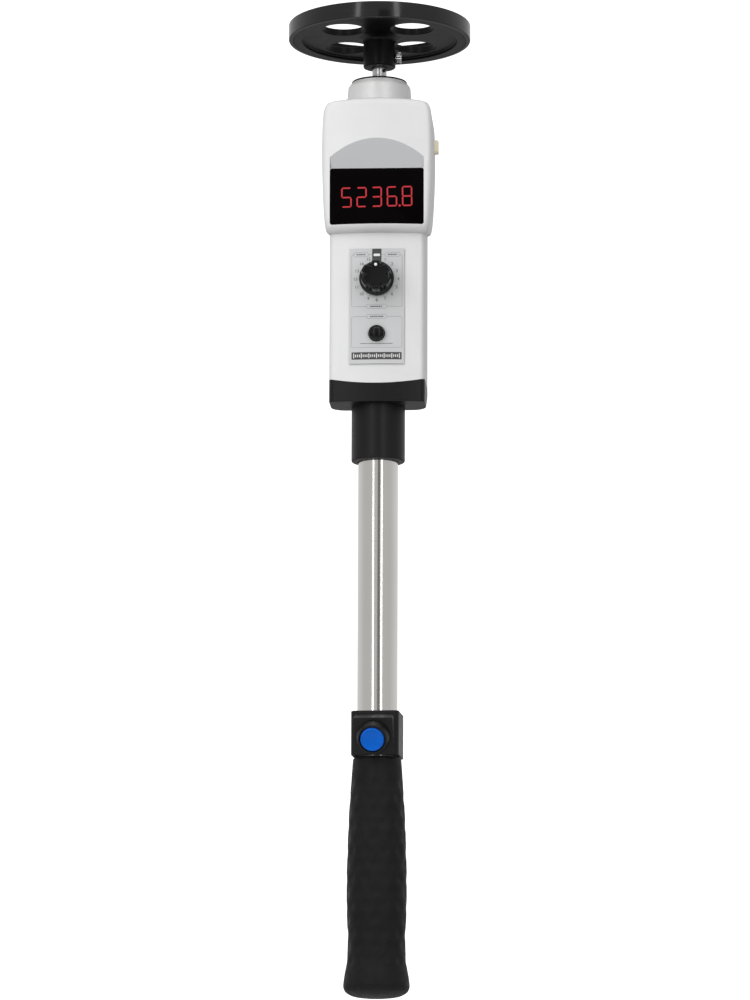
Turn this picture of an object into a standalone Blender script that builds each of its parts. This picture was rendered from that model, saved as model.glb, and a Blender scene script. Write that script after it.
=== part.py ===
"""Hand-held contact tachometer with a surface-speed wheel, on an extension pole with a thumb switch.

Frame: metres, +Z up along the pole, the display faces -Y, and the origin is the centre of the grip's
lower end. Every object is one piece of the instrument as it would come apart on a bench.
"""

import math

import bmesh
import bpy
from mathutils import Vector

MM = 0.001
GAP = 0.3  # space kept between two pieces that touch, in millimetres like every size below

# Levels along the pole, from the lower end of the grip to the top of the wheel.
GRIP_TOP = 124.2
BLOCK_BOTTOM = 124.9
BLOCK_TOP = 148.1
COLLAR_BOTTOM = 281.0
CAP_BOTTOM = 310.4
SEAM = 320.0
CHIN = 400.6
WINDOW_BOTTOM = 404.6
WINDOW_TOP = 434.5
CASE_TOP = 472.9
NECK_TOP = 486.0
HUB_BOTTOM = 495.0
WHEEL_BOTTOM = 509.6
WHEEL_TOP = 518.5

# Contact wheel: 12 inches round the tyre.
WHEEL_RADIUS = 12 * 25.4 / (2 * math.pi)
TYRE_THICKNESS = 2.4
RIM_INNER_RADIUS = 41.3
WEB_BOTTOM = 511.2
WEB_TOP = 514.8
HUB_RADIUS = 8.6
LIGHTENING_HOLE_RADIUS = 11.3
LIGHTENING_HOLE_PITCH_RADIUS = 25.6
LIGHTENING_HOLE_START = math.radians(45)
SPINDLE_RADIUS = 3.85
WHEEL_SCREW_LEVEL = 500.4

# Case: half width, front and back follow the levels in CASE_LEVELS.
CASE_BACK = 20.0
CASE_WALL = 2.2
CASE_HALF_WIDTH = 25.2
CASE_FRONT = 18.6
FRONT_CROWN_RADIUS = 130.0
CROWN_STEPS = 6
CORNER_STEPS = 3
FRONT_CORNER = 3.4
BACK_CORNER = 4.0
PARTING_Y = 1.0
TOP_CROWN_START = 458.0
TOP_CROWN_DROP = 1.4  # how far the top edge falls at 24.5 mm from the middle
LIP_SLOPE = 0.2  # the lip under the head rises towards the back
LIP_START_Y = -12.0
LIP_FADE = (360.0, 445.0)  # levels where that rise starts and has died out again
CAP_BACK = 8.5  # the cap's underside stops here, and slopes up to the back of the case
CAP_SLOPE_TOP = 318.0
SEAM_RADIUS = 125.0  # the joint between case and cap is a shallow smile
CASE_LEVELS = (  # level, half width, front, back
    (312.0, CASE_HALF_WIDTH, CASE_FRONT, CASE_BACK),
    (CHIN, CASE_HALF_WIDTH, CASE_FRONT, CASE_BACK),
    (400.9, 26.1, 20.2, CASE_BACK),
    (401.8, 26.9, 22.0, CASE_BACK),
    (403.8, 27.4, 23.8, CASE_BACK),
    (408.0, 27.9, 24.8, CASE_BACK),
    (418.0, 28.5, 25.3, CASE_BACK),
    (432.0, 29.0, 25.6, CASE_BACK),
    (447.0, 29.2, 25.7, CASE_BACK),
    (458.0, 29.0, 25.5, CASE_BACK),
    (464.0, 28.7, 25.3, CASE_BACK),
    (468.4, 28.1, 25.1, 19.9),
    (471.9, 26.7, 24.3, 19.4),
    (CASE_TOP, 25.0, 22.6, 18.5),
)

# Display pocket in the head: a floor for the window, and a brow that slopes out to the face.
WINDOW_HALF_WIDTH = 24.5
POCKET_FLOOR_TOP = 21.9
POCKET_FLOOR_BOTTOM = 22.4
BROW_TOP = 449.6
BROW_DEPTH = 25.5

# Controls.
KNOB_LEVEL = 375.5
KNOB_SKIRT_RADIUS = 9.2
KNOB_HEIGHT = 10.5
MEASURE_LEVEL = 346.4
MEASURE_RADIUS = 4.1
MEMORY_LEVEL = 452.6
MEMORY_Y = 6.0
LABEL_HALF_WIDTH = 14.35
LABEL_BOTTOM = 330.2
LABEL_TOP = 392.0

# Pole and handle.
TUBE_RADIUS = 10.5
TUBE_WALL = 1.2
TUBE_BOTTOM = 16.0
TUBE_TOP = 305.5
COLLAR_RADIUS = 14.1
BLOCK_HALF = 12.55
BLOCK_CORNER = 3.0
BLOCK_TURN = math.radians(-3.8)  # the block is clamped a little off square
SWITCH_TILT = math.radians(22)  # the thumb switch looks down towards the thumb
SWITCH_PLATE = 20.6
SWITCH_REACH = 16.4
SWITCH_LEVEL = 133.7
BUTTON_RADIUS = 6.4
BEZEL_RADIUS = 8.7
BEZEL_HEIGHT = 5.5

AA_RADIUS = 7.1
AA_LENGTH = 49.5
BATTERY_Y = 9.4
BATTERY_BOTTOM = 324.5

ROUND = 32
WHEEL_SEGMENTS = 48
SMALL_ROUND = 16


# ---------------------------------------------------------------- materials


def material(name, colour, roughness, metallic=0.0):
    made = bpy.data.materials.new(name)
    made.use_nodes = True
    shader = made.node_tree.nodes["Principled BSDF"]
    shader.inputs["Base Color"].default_value = (*colour, 1.0)
    shader.inputs["Roughness"].default_value = roughness
    shader.inputs["Metallic"].default_value = metallic
    made.diffuse_color = (*colour, 1.0)
    return made


def make_materials():
    return {
        "case": material("case_grey", (0.78, 0.79, 0.80), 0.38),
        "neck": material("neck_silver", (0.66, 0.67, 0.68), 0.35, 0.6),
        "black": material("black_plastic", (0.028, 0.028, 0.03), 0.45),
        "wheel": material("wheel_black", (0.022, 0.022, 0.025), 0.32),
        "tyre": material("tyre_rubber", (0.03, 0.03, 0.032), 0.4),
        "grip": material("grip_rubber", (0.03, 0.031, 0.033), 0.7),
        "tube": material("tube_steel", (0.72, 0.70, 0.67), 0.22, 1.0),
        "steel": material("bright_steel", (0.75, 0.75, 0.76), 0.2, 1.0),
        "window": material("window_smoked", (0.012, 0.004, 0.004), 0.08),
        "label": material("label_grey", (0.66, 0.67, 0.69), 0.45),
        "knob": material("knob_black", (0.015, 0.015, 0.017), 0.2),
        "cream": material("cream_plastic", (0.83, 0.80, 0.66), 0.4),
        "blue": material("button_blue", (0.01, 0.12, 0.62), 0.3),
        "white": material("pointer_white", (0.9, 0.9, 0.88), 0.5),
        "board": material("board_green", (0.03, 0.22, 0.10), 0.5),
        "brass": material("contact_brass", (0.72, 0.55, 0.28), 0.3, 1.0),
        "cell": material("cell_wrap", (0.08, 0.09, 0.10), 0.35),
    }


# ---------------------------------------------------------------- shape helpers


def millimetres(point):
    return Vector(point) * MM


def add_object(name, bm, finish=None, at=(0, 0, 0), turn=None, parent=None):
    """Turns a bmesh in millimetres into a named object. Without a finish it is a hidden helper."""
    bmesh.ops.remove_doubles(bm, verts=bm.verts, dist=1e-4)
    bmesh.ops.recalc_face_normals(bm, faces=bm.faces)
    bmesh.ops.scale(bm, vec=(MM, MM, MM), verts=bm.verts)
    mesh = bpy.data.meshes.new(name)
    bm.to_mesh(mesh)
    bm.free()
    mesh.shade_smooth()
    mesh.set_sharp_from_angle(angle=math.radians(35))
    made = bpy.data.objects.new(name, mesh)
    bpy.context.scene.collection.objects.link(made)
    if parent:
        made.parent = parent
    made.location = millimetres(at)
    if turn:
        made.rotation_euler = turn
    if finish:
        mesh.materials.append(finish)
    else:
        made.hide_render = True
        made.display_type = "WIRE"
    return made


def add_empty(name, at, turn=(0, 0, 0)):
    made = bpy.data.objects.new(name, None)
    bpy.context.scene.collection.objects.link(made)
    made.location = millimetres(at)
    made.rotation_euler = turn
    return made


def turned_bmesh(profile, segments):
    """Spins (radius, height) points round Z. The profile is closed, or starts and ends on the axis."""
    bm = bmesh.new()
    points = [bm.verts.new((radius, 0, height)) for radius, height in profile]
    edges = [bm.edges.new(pair) for pair in zip(points, points[1:])]
    if profile[0][0] > 0 or profile[-1][0] > 0:
        edges.append(bm.edges.new((points[-1], points[0])))
    bmesh.ops.spin(
        bm,
        geom=points + edges,
        axis=(0, 0, 1),
        cent=(0, 0, 0),
        steps=segments,
        angle=2 * math.pi,
        use_merge=True,
    )
    return bm


def turned(name, profile, finish=None, segments=ROUND, **place):
    return add_object(name, turned_bmesh(profile, segments), finish, **place)


def rod(name, radius, start, end, finish=None, segments=SMALL_ROUND, **place):
    """A plain cylinder along local Z."""
    return turned(name, [(0, start), (radius, start), (radius, end), (0, end)], finish, segments, **place)


def ring(name, inner, outer, start, end, finish=None, segments=ROUND, **place):
    profile = [(inner, start), (outer, start), (outer, end), (inner, end)]
    return turned(name, profile, finish, segments, **place)


def loft_bmesh(sections, striped=False):
    """Joins closed outlines with the same number of points, and caps both ends.

    Striped caps pair the first half of each outline with the second, for ends that aren't flat.
    """
    bm = bmesh.new()
    rows = [[bm.verts.new(point) for point in section] for section in sections]
    count = len(rows[0])
    for lower, upper in zip(rows, rows[1:]):
        for i, corner in enumerate(lower):
            following = (i + 1) % count
            bm.faces.new((corner, lower[following], upper[following], upper[i]))
    for row in (rows[0], rows[-1]):
        if striped:
            for i in range(count // 2 - 1):
                bm.faces.new((row[i], row[i + 1], row[count - 2 - i], row[count - 1 - i]))
        else:
            bm.faces.new(row)
    if striped:
        bmesh.ops.triangulate(bm, faces=bm.faces)
    return bm


def prism(name, outline, start, end, finish=None, axis="Z", **where):
    """Extrudes an outline of pairs along an axis: pairs are x,y for Z, y,z for X and x,z for Y."""
    place = {
        "Z": lambda a, b, c: (a, b, c),
        "X": lambda a, b, c: (c, a, b),
        "Y": lambda a, b, c: (a, c, b),
    }[axis]
    sections = [[place(a, b, depth) for a, b in outline] for depth in (start, end)]
    return add_object(name, loft_bmesh(sections), finish, **where)


def block(name, low, high, finish=None, **place):
    """A plain box between two corners."""
    outline = [(low[0], low[1]), (high[0], low[1]), (high[0], high[1]), (low[0], high[1])]
    return prism(name, outline, low[2], high[2], finish, **place)


def rounded_rectangle(half_x, half_y, radius, steps=4):
    points = []
    for corner, (sign_x, sign_y) in enumerate(((1, 1), (-1, 1), (-1, -1), (1, -1))):
        for step in range(steps + 1):
            angle = math.pi / 2 * (corner + step / steps)
            x = sign_x * (half_x - radius) + radius * math.cos(angle)
            y = sign_y * (half_y - radius) + radius * math.sin(angle)
            points.append((x, y))
    return points


def boolean(target, operation, other):
    made = target.modifiers.new(f"{operation.lower()}_{other.name}", "BOOLEAN")
    made.operation = operation
    made.object = other
    made.solver = "EXACT"
    return target


def cut(target, *cutters):
    for cutter in cutters:
        boolean(target, "DIFFERENCE", cutter)
    return target


# ---------------------------------------------------------------- case surface


def front_of(x, front):
    """Distance of the crowned front face from the pole's axis, at x from the middle."""
    return front - x * x / (2 * FRONT_CROWN_RADIUS)


def case_outline(half_width, front, back, inset=0.0, rear_radius=BACK_CORNER):
    """One closed section of the case: crowned front, rounded corners and a flat back.

    It runs left to right along the front, then right to left along the back, in equal counts.
    """
    half = half_width - inset
    face = front - inset
    corner = max(FRONT_CORNER - inset, 1.0)
    back_corner = max(rear_radius - inset, 1.0)
    end = half - corner
    for _ in range(4):
        end = half - corner + corner * math.sin(math.atan(end / FRONT_CROWN_RADIUS))
    slope = math.atan(end / FRONT_CROWN_RADIUS)
    centre_y = -front_of(end, face) + corner * math.cos(slope)
    xs = [end * (2 * step / CROWN_STEPS - 1) for step in range(CROWN_STEPS + 1)]
    front_corner = []
    for step in range(1, CORNER_STEPS + 1):
        angle = (slope - math.pi / 2) * (1 - step / CORNER_STEPS)
        front_corner.append((half - corner + corner * math.cos(angle), centre_y + corner * math.sin(angle)))
    rear_corner = []
    for step in range(CORNER_STEPS + 1):
        angle = math.pi / 2 * step / CORNER_STEPS
        x = half - back_corner + back_corner * math.cos(angle)
        rear_corner.append((x, back - inset - back_corner + back_corner * math.sin(angle)))
    along_front = mirrored(front_corner) + [(x, -front_of(x, face)) for x in xs] + front_corner
    along_back = rear_corner + [(x, back - inset) for x in reversed(xs[1:-1])] + mirrored(rear_corner)
    return along_front + along_back


def mirrored(points):
    return [(-x, y) for x, y in reversed(points)]


def case_section(level, half_width, front, back, inset=0.0):
    """A section of the case in space, with the top edge falling towards the sides."""
    share = min(max((level - TOP_CROWN_START) / (CASE_TOP - TOP_CROWN_START), 0), 1)
    drop = TOP_CROWN_DROP * share * share / 24.5**2
    start, stop = LIP_FADE
    rise = LIP_SLOPE * max(0.0, min((level - start) / (CHIN - start), (stop - level) / (stop - CHIN)))
    section = []
    for x, y in case_outline(half_width, front, back, inset):
        section.append((x, y, level - drop * x * x + rise * max(0.0, y - LIP_START_Y)))
    return section


def case_solid(name, finish):
    """The outer shape of the whole case."""
    return add_object(name, loft_bmesh([case_section(*row) for row in CASE_LEVELS], striped=True), finish)


def seam_cutter(name, offset, above):
    """Everything above, or below, the smile-shaped joint between the case and its cap."""
    points = []
    half = 40.0
    for step in range(17):
        x = half * (step / 8 - 1)
        sag = SEAM_RADIUS - math.sqrt(SEAM_RADIUS**2 - x * x)
        points.append((x, SEAM + sag + offset))
    far = 60.0 if above else -30.0
    points += [(half, SEAM + far), (-half, SEAM + far)]
    return prism(name, points, -60, 60, axis="Y")


def pocket_outline(back_by=0.0):
    """Side view of the display pocket, as y,z pairs. back_by moves it deeper, for the wall behind."""
    slope = (BROW_DEPTH - POCKET_FLOOR_TOP) / (BROW_TOP - WINDOW_TOP - GAP)
    reach = 45.0
    top = WINDOW_TOP + GAP + (reach - POCKET_FLOOR_TOP) / slope
    return [
        (-reach, WINDOW_BOTTOM - GAP - back_by),
        (-POCKET_FLOOR_BOTTOM + back_by, WINDOW_BOTTOM - GAP - back_by),
        (-POCKET_FLOOR_TOP + back_by, WINDOW_TOP + GAP + back_by),
        (-reach, top + back_by),
    ]


# ---------------------------------------------------------------- head


SCREW_PLACES = {
    "case_screw_lower_left": (-19.0, 329.5),
    "case_screw_lower_right": (19.0, 329.5),
    "case_screw_upper_left": (-23.0, 441.5),
    "case_screw_upper_right": (23.0, 441.5),
}
SCREW_COLUMN_RADIUS = 3.3
SCREW_SINK = 2.3
FACING_FRONT = (math.pi / 2, 0, 0)  # local +Z becomes -Y
FACING_BACK = (-math.pi / 2, 0, 0)  # local +Z becomes +Y
FACING_RIGHT = (0, math.pi / 2, 0)  # local +Z becomes +X


def case_cavity():
    """The hollow inside the case: it leaves the wall behind the display pocket and the screw columns."""
    levels = [row for row in CASE_LEVELS if row[0] < CASE_TOP - 4]
    inner = [case_section(*row, inset=CASE_WALL) for row in levels]
    inner[0] = [(x, y, 300.0) for x, y, _ in inner[0]]
    cavity = add_object("cavity_tool", loft_bmesh(inner, striped=True))
    half = WINDOW_HALF_WIDTH + GAP + CASE_WALL
    cut(cavity, prism("pocket_wall_tool", pocket_outline(CASE_WALL), -half, half, axis="X"))
    for name, (x, level) in SCREW_PLACES.items():
        column = rod(f"{name}_column_tool", SCREW_COLUMN_RADIUS, -40, 40, at=(x, 0, level), turn=FACING_BACK)
        cut(cavity, column)
    return cavity


def make_case(finish):
    cavity = case_cavity()
    below_seam = seam_cutter("below_seam_tool", GAP / 2, above=False)
    neck_hole = rod("neck_hole_tool", 17.05 + GAP, 440, 500, segments=ROUND)
    half = WINDOW_HALF_WIDTH + GAP

    front = case_solid("front_case", finish["case"])
    cut(front, cavity, block("back_half_tool", (-60, PARTING_Y - GAP / 2, 290), (60, 60, 490)))
    cut(front, prism("pocket_tool", pocket_outline(), -half, half, axis="X"))
    cut(front, block("window_hole_tool", (-half, -30, WINDOW_BOTTOM - GAP), (half, -10, WINDOW_TOP + GAP)))
    cut(front, neck_hole, below_seam)
    for name, (x, level) in SCREW_PLACES.items():
        cut(front, rod(f"{name}_pilot_tool", 1.25, -9, 8, at=(x, 0, level), turn=FACING_BACK, segments=12))
    holes = (("knob", 3.6, KNOB_LEVEL), ("measure", MEASURE_RADIUS + GAP, MEASURE_LEVEL))
    for name, radius, level in holes:
        cut(front, rod(f"{name}_hole_tool", radius, 5, 30, at=(0, 0, level), turn=FACING_FRONT))

    rear = case_solid("rear_case", finish["case"])
    cut(rear, cavity, block("front_half_tool", (-60, -60, 290), (60, PARTING_Y + GAP / 2, 490)))
    cut(rear, neck_hole, below_seam)
    seat = CASE_BACK - SCREW_SINK
    through = [(0, -10), (1.5, -10), (1.5, seat), (3.0, seat), (3.0, 30), (0, 30)]
    for name, (x, level) in SCREW_PLACES.items():
        cut(rear, turned(f"{name}_through_tool", through, segments=16, at=(x, 0, level), turn=FACING_BACK))
    cut(rear, block("door_hole_tool", (-15.5, 12, 323.2), (15.5, 30, 428.8)))
    low = (20, MEMORY_Y - 3.3, MEMORY_LEVEL - 3.8)
    cut(rear, block("memory_hole_tool", low, (40, MEMORY_Y + 3.3, MEMORY_LEVEL + 3.8)))


def make_battery_door(finish):
    """Cover that tilts out about its lower outer edge, where its origin is."""
    outer = CASE_BACK - 0.2
    block("battery_door", (-15.2, -2.0, 0), (15.2, 0, 105.0), finish["case"], at=(0, outer, 323.5))


def make_screws(finish):
    seat = CASE_BACK - SCREW_SINK + GAP
    profile = [
        (0, -6.5),
        (1.0, -6.5),
        (1.0, seat),
        (2.6, seat),
        (2.6, seat + 1.7),
        (1.0, seat + 1.7),
        (1.0, seat + 0.8),
        (0, seat + 0.8),
    ]
    for name, (x, level) in SCREW_PLACES.items():
        turned(name, profile, finish["steel"], 12, at=(x, 0, level), turn=FACING_BACK)


def make_display(finish):
    floor = POCKET_FLOOR_TOP
    low = (-WINDOW_HALF_WIDTH, -floor - 0.1, WINDOW_BOTTOM)
    block("display_window", low, (WINDOW_HALF_WIDTH, -floor + 1.6, WINDOW_TOP), finish["window"])
    block("display_module", (-21.5, -17.9, 411.0), (21.5, -11.5, 427.0), finish["black"])
    block("display_board", (-23.0, -11.2, 406.0), (23.0, -9.8, 434.0), finish["board"])


SENSOR_SIDE = (  # y and z round the side view of the light gate
    (-17.5, 438.0),
    (-17.5, 452.6),
    (-7.6, 452.6),
    (-7.6, 449.4),
    (-14.6, 449.4),
    (-14.6, 446.0),
    (-7.6, 446.0),
    (-7.6, 444.4),
    (-9.6, 444.4),
    (-9.6, 438.0),
)


def make_electronics(finish):
    block("main_board", (-18.6, -4.6, 336.0), (18.6, -3.0, 444.0), finish["board"])
    tray = block("battery_tray", (-15.2, -1.6, 323.5), (15.2, CASE_BACK - 2.6, 428.5), finish["black"])
    cut(tray, block("tray_hollow_tool", (-14.85, -0.4, 324.0), (14.85, 40, 428.3)))
    disc = ring("encoder_disc", SPINDLE_RADIUS + GAP, 13.0, 447.4, 448.0, finish["black"])
    slots = 8
    for i in range(slots):
        turn = (0, 0, 2 * math.pi * i / slots)
        cut(disc, block(f"encoder_slot_tool_{i}", (9.4, -0.8, 440), (11.6, 0.8, 455), turn=turn))
    prism("optical_sensor", SENSOR_SIDE, -3.2, 3.2, finish["black"], axis="X")


def make_batteries(finish):
    cell = [(0, 0), (6.6, 0), (AA_RADIUS, 0.5), (AA_RADIUS, AA_LENGTH - 1.2), (6.6, AA_LENGTH - 0.7),
            (2.7, AA_LENGTH - 0.7), (2.7, AA_LENGTH + 0.7), (0, AA_LENGTH + 0.7)]
    number = 0
    for side in (-1, 1):
        x = side * (AA_RADIUS + 0.35)
        for row in (0, 1):
            number += 1
            bottom = BATTERY_BOTTOM + 1.0 + row * (AA_LENGTH + 1.3)
            turned(f"battery_{number}", cell, finish["cell"], SMALL_ROUND, at=(x, BATTERY_Y, bottom))
    contacts = (("battery_contact_lower", 324.3, 324.9), ("battery_contact_upper", 427.4, 428.0))
    for name, low, high in contacts:
        block(name, (-13.6, BATTERY_Y - 5, low), (13.6, BATTERY_Y + 5, high), finish["brass"])


def make_selector(finish):
    """Rotary switch with its knob. The knob and the shaft turn together about the knob's axis."""
    axis = add_empty("selector_axis", (0, 0, KNOB_LEVEL), FACING_FRONT)
    ring("selector_switch", 3.0 + GAP, 8.0, 5.4, 15.6, finish["black"], SMALL_ROUND, parent=axis)
    rod("selector_shaft", 3.0, 5.8, 27.2, finish["steel"], 16, parent=axis)
    base = CASE_FRONT + 1.5
    around = 36
    levels = (  # height above the base, radius, depth of the six finger scallops, radius of the bore
        (0.0, KNOB_SKIRT_RADIUS, 0.0),
        (1.8, KNOB_SKIRT_RADIUS, 0.0),
        (2.6, 8.6, 0.2),
        (4.0, 8.2, 1.1),
        (KNOB_HEIGHT - 1.2, 7.9, 1.3),
        (KNOB_HEIGHT, 7.1, 1.2),
    )
    sections = []
    for height, radius, scallop in levels:
        section = []
        for i in range(around):
            angle = 2 * math.pi * i / around
            reach = radius - scallop * max(0.0, math.cos(6 * angle))
            section.append((reach * math.cos(angle), reach * math.sin(angle), base + height))
        sections.append(section)
    knob = add_object("selector_knob", loft_bmesh(sections), finish["knob"], parent=axis)
    cut(knob, rod("knob_bore_tool", 3.0 + GAP, 0, 27.2 + GAP, parent=axis))
    top = base + KNOB_HEIGHT
    place = {"parent": axis, "at": (0, 6.0, 0), "segments": 12}
    cut(knob, rod("dot_seat_tool", 1.0, top - 0.8, top + 20, **place))
    rod("knob_pointer_dot", 0.8, top - 0.5, top + 0.1, finish["white"], **place)


def make_measure_button(finish):
    axis = add_empty("measure_axis", (0, 0, MEASURE_LEVEL), FACING_FRONT)
    dome = [(0, 10.9), (1.4, 10.9), (1.4, 14.2), (5.6, 14.2), (5.6, 15.4)]
    dome += [(MEASURE_RADIUS, 15.4), (MEASURE_RADIUS, 21.0)]
    rise = 2.2
    for step in range(1, 6):
        angle = math.pi / 2 * step / 5
        dome.append((MEASURE_RADIUS * math.cos(angle), 21.0 + rise * math.sin(angle)))
    dome[-1] = (0, 21.0 + rise)
    turned("measure_button", dome, finish["knob"], SMALL_ROUND, parent=axis)
    block("measure_switch", (-3, -3, 5.0), (3, 3, 8.8), finish["black"], parent=axis)


def make_memory_button(finish):
    axis = add_empty("memory_axis", (0, MEMORY_Y, MEMORY_LEVEL), FACING_RIGHT)
    outline = rounded_rectangle(3.5, 3.0, 1.2, 3)
    cap = prism("memory_button", outline, 26.0, 31.4, finish["cream"], parent=axis)
    flange = prism("memory_flange_tool", rounded_rectangle(4.5, 3.9, 1.2, 3), 25.1, 26.2, parent=axis)
    stem = rod("memory_stem_tool", 1.3, 23.6, 25.4, parent=axis, segments=12)
    boolean(boolean(cap, "UNION", flange), "UNION", stem)
    block("memory_switch", (-3, -3, 19.0), (3, 3, 22.1), finish["black"], parent=axis)


def make_label(finish):
    """Thin overlay that follows the crown of the front face."""
    steps = 8
    xs = [LABEL_HALF_WIDTH * (2 * i / steps - 1) for i in range(steps + 1)]
    front = [(x, -front_of(x, CASE_FRONT) - GAP - 0.5) for x in xs]
    back = [(x, -front_of(x, CASE_FRONT) - GAP) for x in reversed(xs)]
    label = prism("panel_label", front + back, LABEL_BOTTOM, LABEL_TOP, finish["label"])
    cut(label, rod("label_knob_hole_tool", 4.2, 5, 30, at=(0, 0, KNOB_LEVEL), turn=FACING_FRONT))
    cut(label, rod("label_button_hole_tool", 4.5, 5, 30, at=(0, 0, MEASURE_LEVEL), turn=FACING_FRONT))


# ---------------------------------------------------------------- neck, spindle and wheel


def make_neck(finish):
    bearing_radius = 11.0
    seat = bearing_radius + GAP
    turned(
        "sensor_neck",
        [
            (seat, 460.6), (20.4, 460.6), (20.4, 464.6), (17.05, 464.6), (17.05, 478.0), (16.6, 483.6),
            (14.8, NECK_TOP), (seat, NECK_TOP), (seat, 477.8), (9.4, 477.8), (9.4, 468.8), (seat, 468.8),
        ],
        finish["neck"],
    )
    cut(bpy.data.objects["sensor_neck"], block("neck_flat_tool", (-30, 17.3, 459), (30, 30, 466)))
    bore = SPINDLE_RADIUS + GAP
    ring("lower_bearing", bore, bearing_radius, 461.2, 468.2, finish["steel"], SMALL_ROUND)
    ring("upper_bearing", bore, bearing_radius, 478.4, 485.4, finish["steel"], SMALL_ROUND)
    ring("neck_seal", 5.2, 14.7, NECK_TOP + GAP, NECK_TOP + 0.9, finish["black"])


def make_spindle(finish):
    turned(
        "spindle",
        [(0, 446.0), (3.2, 446.0), (SPINDLE_RADIUS, 446.7), (SPINDLE_RADIUS, 508.3)]
        + [(3.2, 509.0), (0, 509.0)],
        finish["steel"],
        SMALL_ROUND,
    )
    across = {"at": (0, 0, 492.8), "turn": (math.pi / 2, 0, math.radians(40)), "segments": 12}
    cut(bpy.data.objects["spindle"], rod("drive_pin_hole_tool", 1.0, -20, 20, **across))
    rod("drive_pin", 0.85, -4.9, 4.9, finish["black"], **across)
    ring("spindle_clip", SPINDLE_RADIUS + 0.15, 6.0, 459.0, 460.0, finish["steel"], SMALL_ROUND)
    ring("encoder_hub", SPINDLE_RADIUS + 0.15, 6.6, 448.3, 452.0, finish["black"], SMALL_ROUND)


def make_wheel(finish):
    rim_outer = WHEEL_RADIUS - TYRE_THICKNESS
    profile = [
        (SPINDLE_RADIUS + GAP, HUB_BOTTOM), (7.9, HUB_BOTTOM), (HUB_RADIUS, HUB_BOTTOM + 0.7),
        (HUB_RADIUS, 509.6), (10.6, WEB_BOTTOM), (RIM_INNER_RADIUS - 0.6, WEB_BOTTOM),
        (RIM_INNER_RADIUS, WEB_BOTTOM - 0.6), (RIM_INNER_RADIUS, WHEEL_BOTTOM),
        (rim_outer, WHEEL_BOTTOM), (rim_outer, WHEEL_TOP), (RIM_INNER_RADIUS, WHEEL_TOP),
        (RIM_INNER_RADIUS, WEB_TOP), (HUB_RADIUS, WEB_TOP), (HUB_RADIUS, WHEEL_TOP),
        (0, WHEEL_TOP), (0, 510.0), (SPINDLE_RADIUS + GAP, 510.0),
    ]
    wheel = turned("contact_wheel", profile[-1:] + profile[:-1], finish["wheel"], WHEEL_SEGMENTS)
    holes = 4
    for i in range(holes):
        angle = LIGHTENING_HOLE_START + 2 * math.pi * i / holes
        reach = LIGHTENING_HOLE_PITCH_RADIUS
        place = (reach * math.cos(angle), reach * math.sin(angle), 0)
        cut(wheel, rod(f"lightening_hole_tool_{i}", LIGHTENING_HOLE_RADIUS, 500, 530, at=place, segments=20))
    screw_seat = {"at": (0, 0, WHEEL_SCREW_LEVEL), "turn": FACING_RIGHT}
    cut(wheel, rod("wheel_screw_hole_tool", 1.6, 0, 20, segments=12, **screw_seat))
    tyre_inner = rim_outer + 0.15
    chamfer = 0.5
    turned(
        "wheel_tyre",
        [
            (tyre_inner, WHEEL_BOTTOM),
            (WHEEL_RADIUS - chamfer, WHEEL_BOTTOM),
            (WHEEL_RADIUS, WHEEL_BOTTOM + chamfer),
            (WHEEL_RADIUS, WHEEL_TOP - chamfer),
            (WHEEL_RADIUS - chamfer, WHEEL_TOP),
            (tyre_inner, WHEEL_TOP),
        ],
        finish["tyre"],
        WHEEL_SEGMENTS,
    )
    turned(
        "wheel_thumb_screw",
        [(0, 4.3), (1.3, 4.3), (1.3, 8.9), (2.7, 8.9), (3.2, 9.3), (3.2, 11.2), (2.8, 11.7), (0, 11.7)],
        finish["steel"],
        16,
        **screw_seat,
    )


# ---------------------------------------------------------------- pole and handle


def make_adapter(finish):
    """Cap that closes the case, moulded in one with the collar that holds the pole."""
    chamfer = 0.6
    levels = (  # level, inset, back, back corner
        (CAP_BOTTOM, chamfer, CAP_BACK, 8.0),
        (CAP_BOTTOM + chamfer, 0.0, CAP_BACK + 1.0, 8.0),
        (CAP_SLOPE_TOP, 0.0, CASE_BACK, BACK_CORNER),
        (SEAM + 8, 0.0, CASE_BACK, BACK_CORNER),
    )
    cap = add_object("pole_adapter", cap_loft(levels), finish["black"])
    cut(cap, seam_cutter("above_seam_tool", -GAP / 2, above=True))
    hollow = (
        (CAP_BOTTOM + 4.5, 2.4, 14.0, 7.0),
        (CAP_SLOPE_TOP + 1.5, 2.4, CASE_BACK, BACK_CORNER),
        (SEAM + 20, 2.4, CASE_BACK, BACK_CORNER),
    )
    cut(cap, add_object("cap_hollow_tool", cap_loft(hollow)))
    outside = [
        (0, COLLAR_BOTTOM),
        (COLLAR_RADIUS - 1, COLLAR_BOTTOM),
        (COLLAR_RADIUS, COLLAR_BOTTOM + 1),
        (COLLAR_RADIUS, CAP_BOTTOM + 3.5),
        (0, CAP_BOTTOM + 3.5),
    ]
    boolean(cap, "UNION", turned("collar_tool", outside))
    cut(cap, rod("pole_socket_tool", TUBE_RADIUS + GAP, COLLAR_BOTTOM - 5, TUBE_TOP + GAP, segments=ROUND))
    cut(cap, rod("cable_hole_tool", 3.0, COLLAR_BOTTOM, SEAM + 30))
    place = {"at": (0, 0, 293.5), "turn": FACING_BACK, "segments": 12}
    cut(cap, rod("collar_screw_hole_tool", 2.3, 5, 30, **place))
    rod("collar_screw", 2.0, TUBE_RADIUS + GAP, COLLAR_RADIUS - 0.4, finish["steel"], **place)


def cap_loft(levels):
    """A stack of case outlines, each with its own level, inset, back and back corner."""
    sections = []
    for level, inset, back, corner in levels:
        outline = case_outline(CASE_HALF_WIDTH, CASE_FRONT, back, inset, corner)
        sections.append([(x, y, level) for x, y in outline])
    return loft_bmesh(sections, striped=True)


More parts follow.
